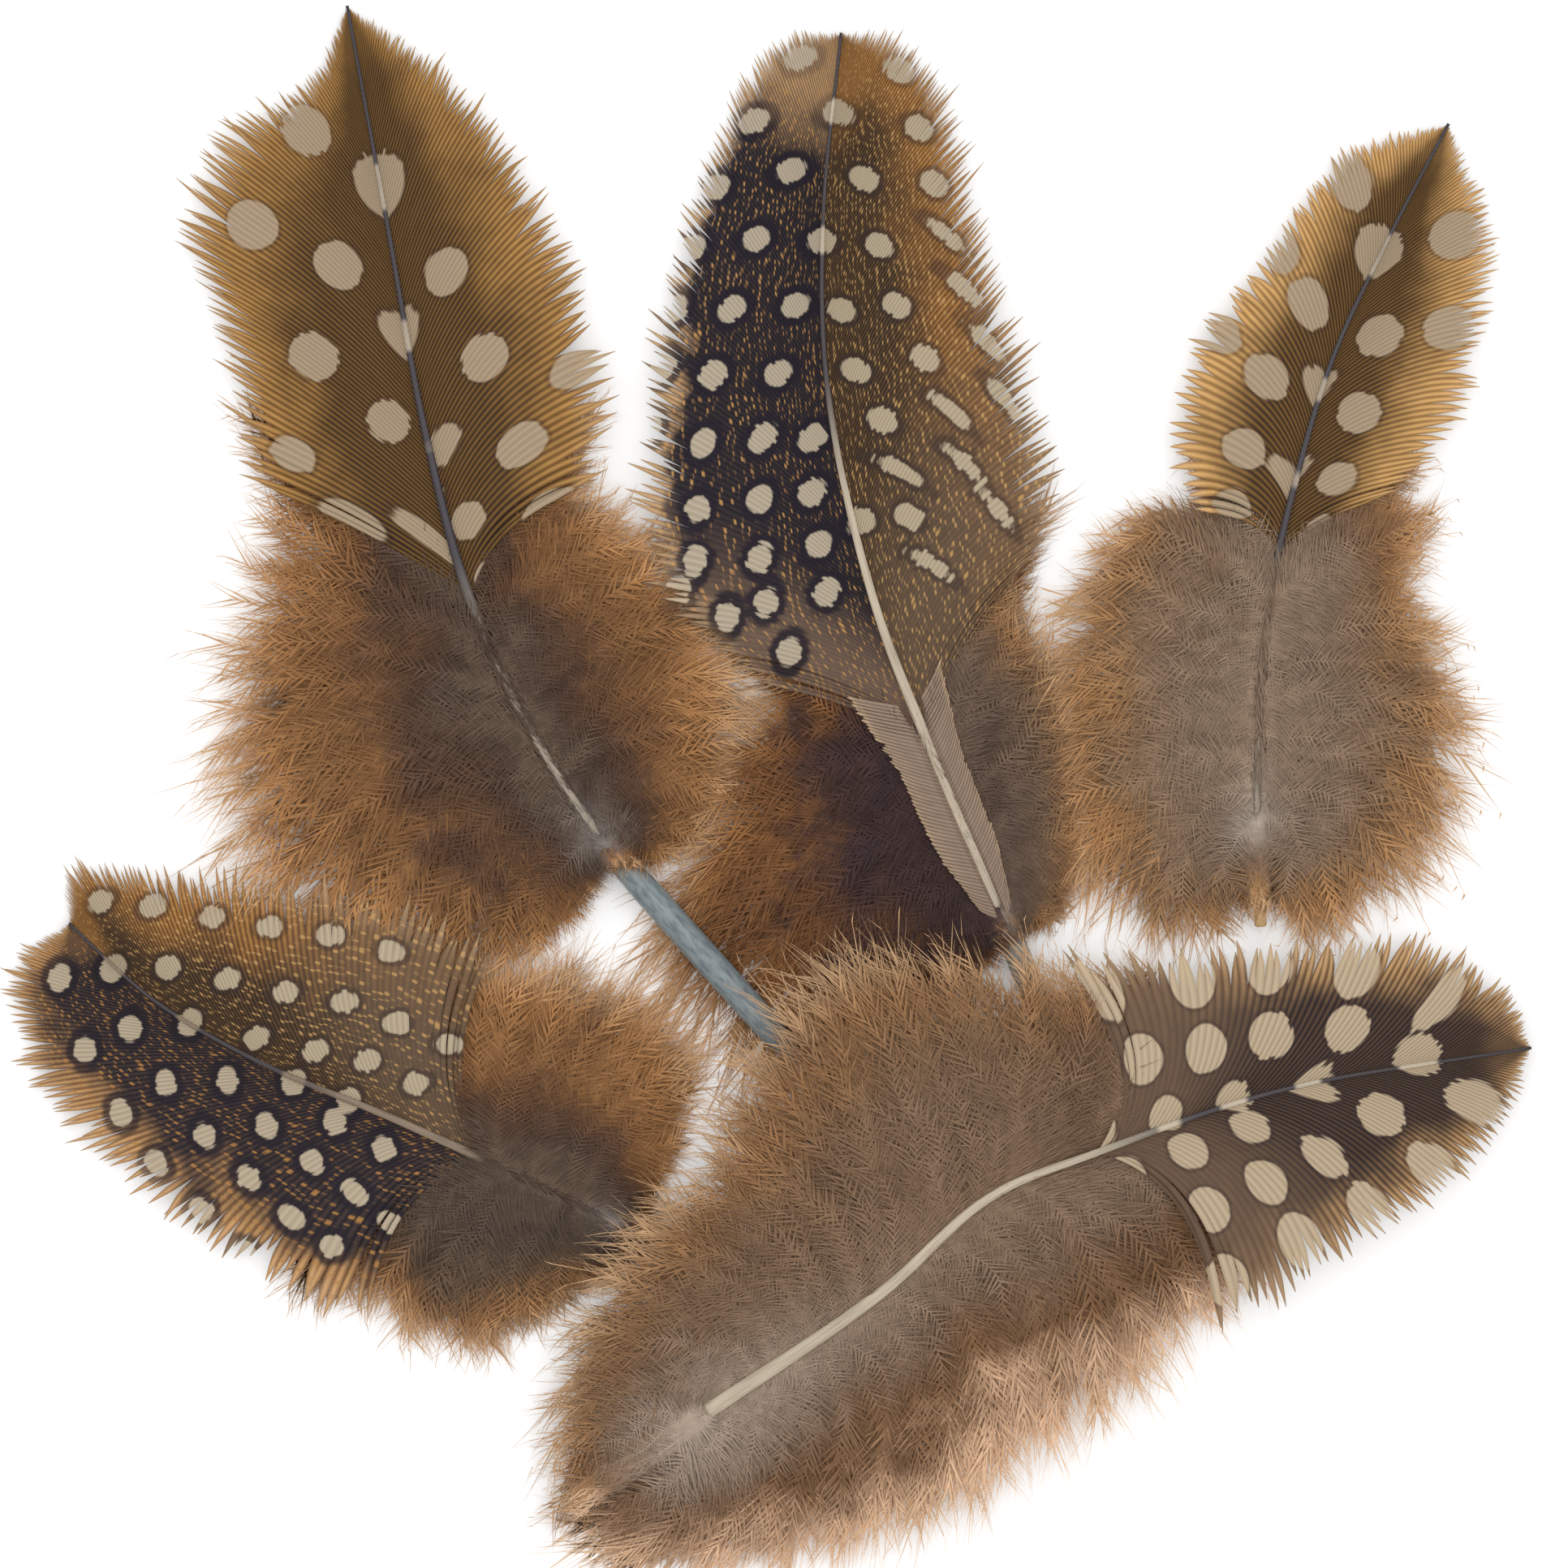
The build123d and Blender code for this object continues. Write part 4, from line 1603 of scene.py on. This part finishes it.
    def _side(self, side: Side, barrels: dict[str, Barrel]) -> None:
        """The closed vane and the loose down on one side of the shaft.

        Args:
            side: Which side.
            barrels: Where every feather's quill lies.
        """
        label = side.name.lower()
        vane_points = self.left_vane if side is Side.LEFT else self.right_vane
        down_points = self.left_down if side is Side.LEFT else self.right_down
        start = self.line.share_of(self.vane_from)
        rim = SmoothLine([*self.moved(vane_points)[::-1], self.moved([self.shaft[-1]])[0]])
        vane = VaneSide(
            self.line, rim, start, LAST_BARB, side, self.bow, self.seed + side.value,
            fray=self.fray[side], pitch=self.pitch,
        )
        barbs = partial(vane.build, mark=self.mark)
        self._piece(f"barbs_{label}", f"vane_{label}", barbs, self.dress.vane_slot, self.dress.vanes[side])
        collar = np.array(self.collar)
        behind = collar + (np.array(self.end) - collar) * self.covered
        upper = [tuple(self.line.at(start + 0.04) * 0.12 + rim.at(share) * 0.88) for share in (0.02, 0.16)]
        skirt = SmoothLine([tuple(behind), *self.moved(down_points)[::-1], *upper])
        down = DownSide(
            self.line, skirt, 0.0, start + 0.03, side, self.bow, self.seed + 20 + side.value,
            strands=self.strands, droop=self.droop[side], back=self.covered, veil=self.veil,
            over=[barrel for name, barrel in barrels.items() if name not in self.beneath],
            beneath=[barrels[name] for name in self.beneath],
        )
        self._piece(f"fluff_{label}", f"down_{label}", down.build, "down", self.dress.downs[side])

    def _strip(self, side: Side) -> None:
        """The narrow closed strip of short barbs beside the lower shaft, on one side."""
        start, width = self.line.share_of(self.vane_from), self.strips[side]
        shares = np.linspace(0.02, start + 0.09, 9)
        spread = np.interp(shares, [0.0, 0.09, start, start + 0.09], [0.4, 0.95, 1.05, 1.6]) * width
        normal = turned(self.line.heading(shares), side.value * math.pi / 2)
        edge = SmoothLine([tuple(p) for p in self.line.at(shares) + normal * spread[:, None]])
        strip = VaneSide(
            self.line, edge, 0.0, start + 0.05, side, self.bow, self.seed + 60 + side.value,
            angles=(60.0, 60.0), lead=0.0, fray=0.1, pitch=0.26, taper=0.06, camber=0.1, lift=0.75,
            sink=0.68, loosened=0.0,
        )
        barbs = partial(strip.build, mark=lambda places, *_: np.full(places.shape[:2], FAR_FROM_SPOTS))
        self._piece(f"strip_{side.name.lower()}", None, barbs, self.dress.vane_slot, STRIP)


# ----------------------------------------
# Finishes

# Each vane's groove colours hold painted shade between the barbs as well as the barbs' own darker edges.
OLIVE = VaneFinish(
    name="olive_spotted_vane", ridge=(110, 80, 38), shaded_groove=(58, 41, 30), rim_ridge=(178, 134, 76),
    rim_shaded_groove=(128, 90, 46), spot=(172, 152, 126), halo=(58, 40, 38), rim_from=0.44, halo_width=0.12,
    halo_depth=0.3,
)
OLIVE_BRIGHT = replace(
    OLIVE, name="bright_rimmed_olive_vane", rim_ridge=(212, 166, 106), rim_shaded_groove=(160, 120, 70), rim_from=0.38,
)
OLIVE_DARK = VaneFinish(
    name="dark_olive_spotted_vane", ridge=(80, 61, 46), shaded_groove=(46, 37, 41), rim_ridge=(186, 148, 104),
    rim_shaded_groove=(124, 92, 58), spot=(190, 170, 142), halo=(50, 38, 42), rim_from=0.6, halo_width=0.12,
    halo_depth=0.35, faded=(110, 88, 70), fade_below=0.35,
)
SPECKLED = VaneFinish(
    name="near_black_speckled_vane", ridge=(48, 40, 42), shaded_groove=(34, 29, 36), rim_ridge=(188, 152, 112),
    rim_shaded_groove=(138, 106, 74), spot=(184, 170, 148), halo=(34, 28, 38), dots=(186, 140, 84), rim_from=0.86,
    halo_width=0.3, halo_depth=0.9, fill=0.48, faded=(118, 96, 80), fade_below=0.22, crown_from=0.81, crown=0.9,
)
SPECKLED_RUSTY = VaneFinish(
    name="rusty_edged_speckled_vane", ridge=(60, 48, 46), shaded_groove=(38, 32, 38), rim_ridge=(190, 146, 98),
    rim_shaded_groove=(136, 98, 62), spot=(186, 170, 146), halo=(36, 30, 38), dots=(170, 122, 68), rim_from=0.68,
    halo_width=0.3, halo_depth=0.8, fill=0.5,
)
SPECKLED_BROWN = VaneFinish(
    name="brown_speckled_vane", ridge=(84, 62, 38), shaded_groove=(48, 38, 34), rim_ridge=(172, 122, 66),
    rim_shaded_groove=(120, 80, 42), spot=(184, 168, 142), halo=(50, 40, 40), dots=(186, 146, 92), rim_from=0.42,
    halo_width=0.18, halo_depth=0.5, fill=0.5, faded=(104, 84, 66), fade_below=0.4, crown_from=0.83, crown=0.85,
)
STRIP = VaneFinish(
    name="pale_taupe_strip", ridge=(150, 130, 114), shaded_groove=(132, 112, 98), rim_ridge=(166, 144, 122),
    rim_shaded_groove=(132, 110, 94), spot=(180, 160, 140), halo=(90, 74, 66),
)
RUSTY_DOWN = DownFinish(
    name="rusty_taupe_down", inner=(98, 80, 66), middle=(134, 94, 58), rim=(178, 128, 80), dark=(72, 52, 44),
    pale_root=(134, 126, 122), inner_until=0.4, rim_from=0.82, mottle=0.6, ring=0.6,
)
WARM_DOWN = DownFinish(
    name="warm_taupe_down", inner=(144, 122, 102), middle=(138, 106, 74), rim=(178, 130, 84),
    dark=(108, 80, 58), pale_root=(174, 160, 148), inner_until=0.62, rim_from=0.84, mottle=0.45,
)
TAUPE_DOWN = DownFinish(
    name="taupe_down", inner=(132, 106, 84), middle=(130, 100, 72), rim=(156, 114, 76), dark=(104, 80, 62),
    pale_root=(176, 158, 142), inner_until=0.6, rim_from=0.84, mottle=0.4, root_until=0.9,
)
PALE_RIM_DOWN = DownFinish(
    name="pale_rimmed_taupe_down", inner=(136, 112, 92), middle=(120, 86, 56), rim=(222, 182, 148),
    dark=(112, 88, 68), pale_root=(180, 162, 146), inner_until=0.5, rim_from=0.84, mottle=0.35, root_until=0.95,
)
BROWN_DOWN = DownFinish(
    name="grey_brown_down", inner=(112, 92, 78), middle=(120, 94, 70), rim=(160, 116, 76), dark=(80, 62, 54),
    pale_root=(140, 126, 116), inner_until=0.6, rim_from=0.85, mottle=0.5,
)
SOOTY_DOWN = DownFinish(
    name="sooty_brown_down", inner=(94, 78, 66), middle=(98, 76, 56), rim=(162, 116, 74), dark=(66, 52, 46),
    pale_root=(124, 112, 104), inner_until=0.6, rim_from=0.8, mottle=0.5,
)
DARK_DOWN = DownFinish(
    name="dark_rusty_down", inner=(76, 56, 52), middle=(112, 74, 44), rim=(160, 110, 64), dark=(58, 42, 44),
    pale_root=(90, 72, 66), inner_until=0.5, rim_from=0.82, mottle=0.8, ring=0.7,
)
UNDER_DOWN = DownFinish(
    name="pale_underdown", inner=(140, 112, 86), middle=(146, 108, 74), rim=(172, 124, 80), dark=(96, 72, 56),
    pale_root=(160, 140, 122),
)
BLUE_QUILL = HornFinish(
    name="blue_grey_quill", base=(126, 136, 138), streak=(78, 88, 98), roughness=0.3,
)
TAN_QUILL = HornFinish(
    name="tan_quill", base=(190, 156, 108), streak=(156, 120, 76), roughness=0.3,
)
GREY_QUILL = HornFinish(
    name="grey_quill", base=(150, 146, 138), streak=(104, 106, 108), roughness=0.3,
)
PALE_QUILL = HornFinish(
    name="pale_quill", base=(176, 164, 146), streak=(142, 126, 106), roughness=0.3,
)
DARK_SHAFT = HornFinish(
    name="dark_shaft", base=(166, 152, 134), streak=(120, 104, 92), tip=(46, 38, 44), tip_from=0.3,
    roughness=0.32,
)
BROWN_SHAFT = HornFinish(
    name="brown_shaft", base=(132, 112, 92), streak=(92, 76, 64), tip=(48, 38, 42), tip_from=0.52,
    roughness=0.32,
)
PALE_SHAFT = HornFinish(
    name="pale_shaft", base=(186, 172, 150), streak=(150, 132, 110), tip=(48, 38, 42), tip_from=0.56,
    roughness=0.3,
)
SMALL_SHAFT = HornFinish(
    name="small_shaft", base=(176, 160, 136), streak=(140, 120, 98), along=False,
)
PITH = HornFinish(
    name="spongy_pith", base=(232, 226, 212), streak=(206, 198, 182), roughness=0.9, along=False,
)
PULP_CAP = HornFinish(
    name="dry_pulp_cap", base=(196, 188, 172), streak=(150, 142, 128), roughness=0.6, along=False,
)


# ----------------------------------------
# The five feathers


def spotted_long() -> Feather:
    """The longest feather, upper left, with the bare blue-grey quill."""
    return Feather(
        name="spotted_long",
        size=1.0,
        quill_end=(0.9, -17.0),
        shaft=[(-11.0, -3.7), (-15.3, 3.0), (-19.4, 11.5), (-22.2, 22.0), (-24.4, 34.0), (-27.0, 48.0)],
        vane_from=2,
        left_vane=[(-29.4, 43.4), (-33.8, 41.0), (-37.2, 34.5), (-34.8, 28.0), (-33.2, 18.5)],
        left_down=[(-33.4, 10.0), (-34.0, 0.5), (-31.4, -8.0), (-18.0, -11.2)],
        right_vane=[(-19.8, 43.2), (-14.6, 36.0), (-11.2, 27.0), (-11.8, 18.0)],
        right_down=[(-7.6, 14.2), (-3.6, 7.0), (-4.0, -1.6), (-7.4, -4.4)],
        heights=(LOW_END + 0.3, LAID_HEIGHT + 0.5, TIP_HEIGHT),
        after=((-22.5, 3.0), 9.5, 6.5, 125.0),
        dress=Dress(
            both(OLIVE),
            both(RUSTY_DOWN),
            UNDER_DOWN, BLUE_QUILL, DARK_SHAFT, "quill_horn", "shaft_horn_dark", "vane_spotted",
        ),
        seed=11,
        spots=large_spots([
            (-29.5, 40.3, 1.7, 1.4), (-24.9, 36.8, 2.2, 1.3), (-32.8, 34.5, 1.7, 1.5), (-27.5, 32.0, 1.7, 1.35),
            (-20.9, 31.6, 1.6, 1.3), (-23.6, 27.6, 2.0, 0.9), (-29.0, 26.4, 1.6, 1.4), (-18.5, 26.3, 1.6, 1.3),
            (-12.6, 25.8, 2.2, 1.2), (-24.4, 22.4, 1.4, 1.2), (-21.0, 21.0, 1.4, 0.8), (-16.3, 21.0, 1.7, 1.2),
            (-30.3, 20.3, 1.5, 1.0), (-26.5, 16.5, 2.4, 0.8), (-19.5, 16.3, 1.2, 1.0), (-14.5, 17.3, 1.9, 0.9),
            (-22.0, 15.3, 2.6, 0.6), (-18.0, 12.8, 1.2, 1.1),
        ]),
        fray=both(1.3),
        covered=0.06,
    )


def speckled_long() -> Feather:
    """The near-black feather in the middle."""
    return Feather(
        name="speckled_long",
        size=0.9,
        quill_end=(16.7, -16.7),
        shaft=[(13.4, -8.2), (8.9, 2.2), (5.2, 12.0), (2.6, 24.0), (2.3, 35.0), (3.4, 46.3)],
        vane_from=1,
        left_vane=[(0.2, 46.0), (-3.0, 42.6), (-7.0, 33.4), (-9.0, 21.3), (-7.8, 12.4), (-1.6, 6.2)],
        left_down=[(-4.4, 1.0), (-6.4, -6.0), (-7.2, -12.4), (-0.6, -17.0), (5.0, -14.4), (11.6, -12.0)],
        right_vane=[(6.6, 46.0), (9.8, 43.0), (12.4, 34.0), (15.2, 24.5), (16.6, 17.6), (14.0, 12.4)],
        right_down=[(16.4, 7.4), (18.2, -0.8), (17.6, -7.0), (15.6, -8.6)],
        heights=(LOW_END, LAID_HEIGHT + 0.5, TIP_HEIGHT),
        after=((4.6, -3.4), 5.6, 4.6, 100.0),
        dress=Dress(
            both(SPECKLED, SPECKLED_BROWN),
            both(DARK_DOWN, BROWN_DOWN),
            DARK_DOWN, GREY_QUILL, PALE_SHAFT, "quill_horn", "shaft_horn_pale", "vane_speckled",
        ),
        seed=23,
        spots=small_spots([
            (-1.9, 40.9), (0.9, 44.8), (3.2, 41.4), (8.2, 40.4), (7.0, 44.0), (-4.3, 36.8), (0.3, 37.8),
            (4.8, 37.3), (9.1, 37.0), (-5.8, 33.0), (-1.8, 33.6), (2.2, 33.5), (5.7, 33.2), (-6.8, 29.4),
            (-3.3, 29.3), (0.6, 29.5), (3.4, 29.2), (6.8, 29.5), (-7.6, 25.7), (-4.5, 25.2), (-0.5, 25.3),
            (4.3, 25.5), (8.6, 26.2), (-8.4, 22.0), (-5.1, 21.0), (-1.4, 21.4), (1.7, 21.4), (6.0, 22.4),
            (-5.4, 17.0), (-1.6, 17.6), (1.6, 18.0), (-5.6, 13.7), (-1.6, 14.0), (2.0, 14.8), (4.6, 16.3),
            (7.6, 16.5), (-6.6, 12.0), (-3.6, 10.4), (-1.2, 11.3), (2.5, 11.9), (0.2, 8.2),
        ]) + small_spots([
            (9.9, 33.8), (11.0, 30.5), (10.2, 23.0), (13.4, 23.8), (11.0, 19.8), (13.0, 17.0), (9.0, 13.6),
            (7.0, 19.4), (12.4, 27.2),
        ], along=0.46, across=1.7),
        pitch=0.32,
        beneath=("spotted_long",),
        strips=both(2.3, 1.7),
        veil=2.5,
    )


def spotted_small() -> Feather:
    """The small feather on the right, with the short tan quill."""
    return Feather(
        name="spotted_small",
        size=0.72,
        quill_end=(29.4, -8.7),
        shaft=[(29.1, -2.4), (29.4, 7.0), (30.4, 14.0), (33.4, 25.0), (37.0, 33.0), (41.0, 40.6)],
        vane_from=2,
        left_vane=[(34.6, 38.8), (29.6, 32.4), (25.2, 27.0), (24.0, 21.0), (25.8, 16.6)],
        left_down=[(20.6, 15.2), (17.0, 8.0), (16.8, -1.0), (19.8, -7.2), (25.8, -9.4)],
        right_vane=[(43.4, 34.6), (43.0, 27.0), (40.6, 21.0), (37.0, 17.4)],
        right_down=[(39.6, 17.2), (38.8, 12.0), (41.4, 3.0), (39.6, -4.0), (33.4, -8.8)],
        heights=(LAID_HEIGHT, LAID_HEIGHT + 0.5, TIP_HEIGHT),
        after=((30.2, 2.0), 8.0, 6.0, 90.0),
        dress=Dress(
            both(OLIVE_BRIGHT),
            both(WARM_DOWN),
            UNDER_DOWN, TAN_QUILL, DARK_SHAFT, "quill_horn_tan", "shaft_horn_dark", "vane_spotted",
        ),
        seed=37,
        spots=large_spots([
            (35.0, 37.0, 1.8, 1.3), (41.4, 33.7, 1.7, 1.4), (36.5, 32.6, 1.8, 1.3), (30.4, 33.0, 1.8, 1.2),
            (32.4, 29.5, 1.7, 1.15), (36.7, 27.5, 1.5, 1.25), (41.0, 28.0, 1.7, 1.3), (26.7, 27.8, 1.7, 1.2),
            (29.8, 25.0, 1.6, 1.2), (32.8, 24.3, 1.5, 0.7), (35.4, 22.8, 1.4, 1.2), (28.4, 20.6, 1.4, 1.2),
            (34.0, 18.8, 1.3, 0.9), (31.0, 18.8, 1.8, 0.6), (27.7, 17.2, 1.2, 0.9), (33.2, 15.6, 1.0, 0.9),
        ]),
        pitch=0.33,
        covered=0.75,
    )


def spotted_broad() -> Feather:
    """The broad feather at the lower right, which lies over three quills."""
    return Feather(
        name="spotted_broad",
        size=1.0,
        quill_end=(-13.2, -44.2),
        shaft=[(-5.2, -38.6), (5.6, -31.2), (12.4, -25.2), (19.2, -22.3), (31.0, -18.4), (46.0, -16.0)],
        vane_from=3,
        left_vane=[(44.4, -12.4), (38.0, -9.4), (27.0, -10.0), (16.8, -10.6)],
        left_down=[
            (9.0, -10.8), (3.0, -12.0), (-1.8, -17.6), (-4.4, -23.4), (-9.5, -28.8), (-12.4, -34.5),
            (-13.6, -40.4),
        ],
        right_vane=[(44.2, -21.2), (38.6, -26.6), (31.6, -30.4), (26.4, -33.4)],
        right_down=[(16.2, -39.8), (6.6, -44.9), (-2.6, -47.6), (-9.6, -47.8), (-12.6, -45.8)],
        heights=(LAID_HEIGHT + 0.2, PROPPED_HEIGHT + 0.4, TIP_HEIGHT + 0.6),
        after=((-0.5, -38.8), 9.0, 4.8, 36.0),
        dress=Dress(
            both(OLIVE_DARK),
            both(TAUPE_DOWN, PALE_RIM_DOWN),
            UNDER_DOWN, PALE_QUILL, PALE_SHAFT, "quill_horn_tan", "shaft_horn_pale", "vane_spotted",
        ),
        seed=53,
        spots=large_spots([
            (19.5, -12.2, 2.2, 1.1), (25.1, -11.7, 1.8, 1.4), (29.8, -11.0, 1.7, 1.4), (35.2, -11.2, 1.9, 1.3),
            (40.4, -13.2, 2.2, 0.9), (18.1, -17.5, 1.4, 1.1), (22.1, -16.6, 1.5, 1.2), (25.9, -16.0, 1.5, 1.2),
            (29.9, -15.2, 1.5, 1.3), (34.6, -14.8, 1.5, 1.3), (38.9, -16.5, 1.6, 1.2), (19.4, -21.0, 1.2, 0.9),
            (23.4, -20.0, 1.2, 0.9), (27.5, -19.0, 1.2, 0.8), (32.2, -18.3, 1.8, 0.7), (21.1, -23.5, 1.2, 0.9),
            (24.8, -22.2, 1.3, 1.0), (28.6, -20.7, 1.3, 0.9), (23.0, -27.0, 1.3, 1.1), (26.2, -25.7, 1.4, 1.1),
            (29.6, -24.1, 1.5, 1.1), (33.2, -22.5, 1.7, 1.0), (36.7, -20.0, 1.5, 1.3), (42.5, -19.2, 2.0, 1.2),
            (27.2, -30.2, 1.6, 1.3), (31.7, -27.7, 1.8, 1.3), (36.0, -25.7, 1.8, 1.2), (39.8, -23.2, 1.8, 1.2),
        ]),
        droop=both(0.2, 2.2),
        strands=480,
        covered=1.0,
        veil=2.5,
    )


def speckled_short() -> Feather:
    """The near-black feather at the lower left."""
    return Feather(
        name="speckled_short",
        size=0.78,
        quill_end=(-4.8, -28.5),
        shaft=[(-10.4, -26.8), (-18.2, -23.0), (-24.6, -20.1), (-32.0, -17.0), (-38.6, -13.2), (-44.0, -8.4)],
        vane_from=1,
        left_vane=[(-47.8, -11.2), (-46.2, -18.0), (-40.8, -23.8), (-33.2, -29.8), (-25.6, -32.8)],
        left_down=[(-20.0, -34.0), (-14.0, -31.8)],
        right_vane=[(-43.8, -5.0), (-38.3, -5.2), (-31.0, -5.8), (-23.4, -7.2), (-17.6, -10.0)],
        right_down=[(-11.8, -12.4), (-6.6, -15.6), (-6.4, -21.0), (-8.4, -25.4)],
        heights=(LOW_END - 0.2, LAID_HEIGHT + 0.2, TIP_HEIGHT),
        after=((-17.6, -21.8), 6.4, 6.0, 155.0),
        dress=Dress(
            both(SPECKLED_RUSTY, SPECKLED_BROWN),
            both(SOOTY_DOWN, RUSTY_DOWN),
            UNDER_DOWN, BLUE_QUILL, BROWN_SHAFT, "quill_horn", "shaft_horn_pale", "vane_speckled",
        ),
        seed=71,
        spots=small_spots([
            (-42.0, -7.0), (-38.8, -7.3), (-35.2, -8.0), (-31.6, -8.6), (-27.9, -9.1), (-24.2, -10.1),
            (-44.6, -11.8), (-41.3, -11.1), (-37.9, -11.1), (-34.2, -11.8), (-30.6, -12.6), (-27.0, -13.2),
            (-23.8, -14.5), (-20.6, -15.8), (-43.0, -16.2), (-40.2, -14.8), (-36.6, -14.4), (-32.4, -15.4),
            (-28.8, -16.2), (-25.6, -16.8), (-22.6, -18.2), (-38.0, -18.2), (-34.2, -18.0), (-30.2, -18.1),
            (-26.8, -19.2), (-40.8, -20.0), (-35.6, -21.4), (-31.8, -20.8), (-27.6, -20.6), (-29.0, -23.0),
            (-24.6, -22.2), (-38.6, -23.1), (-32.9, -24.0), (-26.4, -24.9), (-30.3, -26.4), (-35.8, -26.0),
            (-33.2, -28.6), (-27.8, -28.2), (-24.3, -26.7),
        ], along=0.68, across=0.86),
        pitch=0.32,
        covered=0.5,
    )


# ----------------------------------------
# The studio


@dataclass
class Studio:
    """The pale floor, the soft light and the camera, straight above the spread.

    Attributes:
        view_width: How much of the floor the camera sees, in metres.
        distance: How high the camera is over it.
        sensor: The width of the camera's sensor, in millimetres.
        aim: The point that it looks down on.
        glow: How brightly the floor shines by itself, as a light table does.
        sky: How bright the air all round is.
    """

    view_width: float = 0.0966
    distance: float = 0.42
    sensor: float = 36.0
    aim: Point = (0.0010, 0.0001)
    glow: float = 0.12
    sky: float = 0.78

    def build(self) -> None:
        """Makes the floor, the lights and the camera."""
        self._floor()
        self._light("overhead_softbox", (0.06, 0.05, 0.55), size=0.5, power=1.15)
        self._light("side_softbox", (-0.45, 0.3, 0.3), size=0.35, power=0.3)
        world = bpy.data.worlds.new("studio_air")
        bpy.context.scene.world = world
        world.use_nodes = True
        Graph.adjust(world.node_tree.nodes["Background"], Color=(1.0, 1.0, 1.0, 1.0), Strength=self.sky)
        bpy.context.scene.view_settings.view_transform = "Standard"
        camera = bpy.data.cameras.new("camera")
        camera.sensor_width = self.sensor
        camera.lens = self.sensor * self.distance / self.view_width
        camera.clip_start = 0.01
        camera.clip_end = 5.0
        holder = bpy.data.objects.new("camera", camera)
        holder.location = (*self.aim, self.distance)
        bpy.context.scene.collection.objects.link(holder)
        bpy.context.scene.camera = holder

    def _floor(self) -> None:
        """A wide pale sheet under the feathers."""
        bm = bmesh.new()
        bmesh.ops.create_grid(bm, x_segments=4, y_segments=4, size=1.5)
        bmesh.ops.translate(bm, vec=(0, 0, -FLOOR_DROP * MM), verts=bm.verts)
        mesh = mesh_from(bm, "floor")
        floor = bpy.data.objects.new("floor", mesh)
        bpy.context.scene.collection.objects.link(floor)
        made, graph, shader = new_material("pale_floor")
        graph.adjust(
            shader, Base_Color=(0.93, 0.93, 0.93, 1.0), Roughness=0.8, Emission_Color=(1.0, 1.0, 1.0, 1.0),
            Emission_Strength=self.glow,
        )
        mesh.materials.append(made)
        floor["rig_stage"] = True

    @staticmethod
    def _light(name: str, place: Point3, size: float, power: float) -> None:
        """An area light that faces the middle of the spread.

        Args:
            name: Its name.
            place: Where it is, in metres.
            size: Its width, in metres.
            power: Its power, in watts.
        """
        lamp = bpy.data.lights.new(name, "AREA")
        lamp.size = size
        lamp.energy = power
        holder = bpy.data.objects.new(name, lamp)
        holder.location = place
        holder.rotation_euler = Vector(place).to_track_quat("Z", "Y").to_euler()
        bpy.context.scene.collection.objects.link(holder)


def main() -> None:
    """Builds the studio and the five feathers."""
    logging.basicConfig(level=logging.INFO, format="%(name)s: %(message)s")
    Studio().build()
    wardrobe = Wardrobe()
    feathers = [make() for make in (spotted_long, speckled_short, spotted_small, speckled_long, spotted_broad)]
    for feather in feathers:
        feather.settle()
    barrels = {feather.name: feather.barrel for feather in feathers}
    for feather in feathers:
        count = feather.build(wardrobe, barrels)
        log.info("%s: %d pieces", feather.name, count)
    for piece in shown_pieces():
        if piece.type == "MESH" and "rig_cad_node" not in piece:
            log.info("%s: %d faces", piece.name, len(piece.data.polygons))


if __name__ == "__main__":
    main()
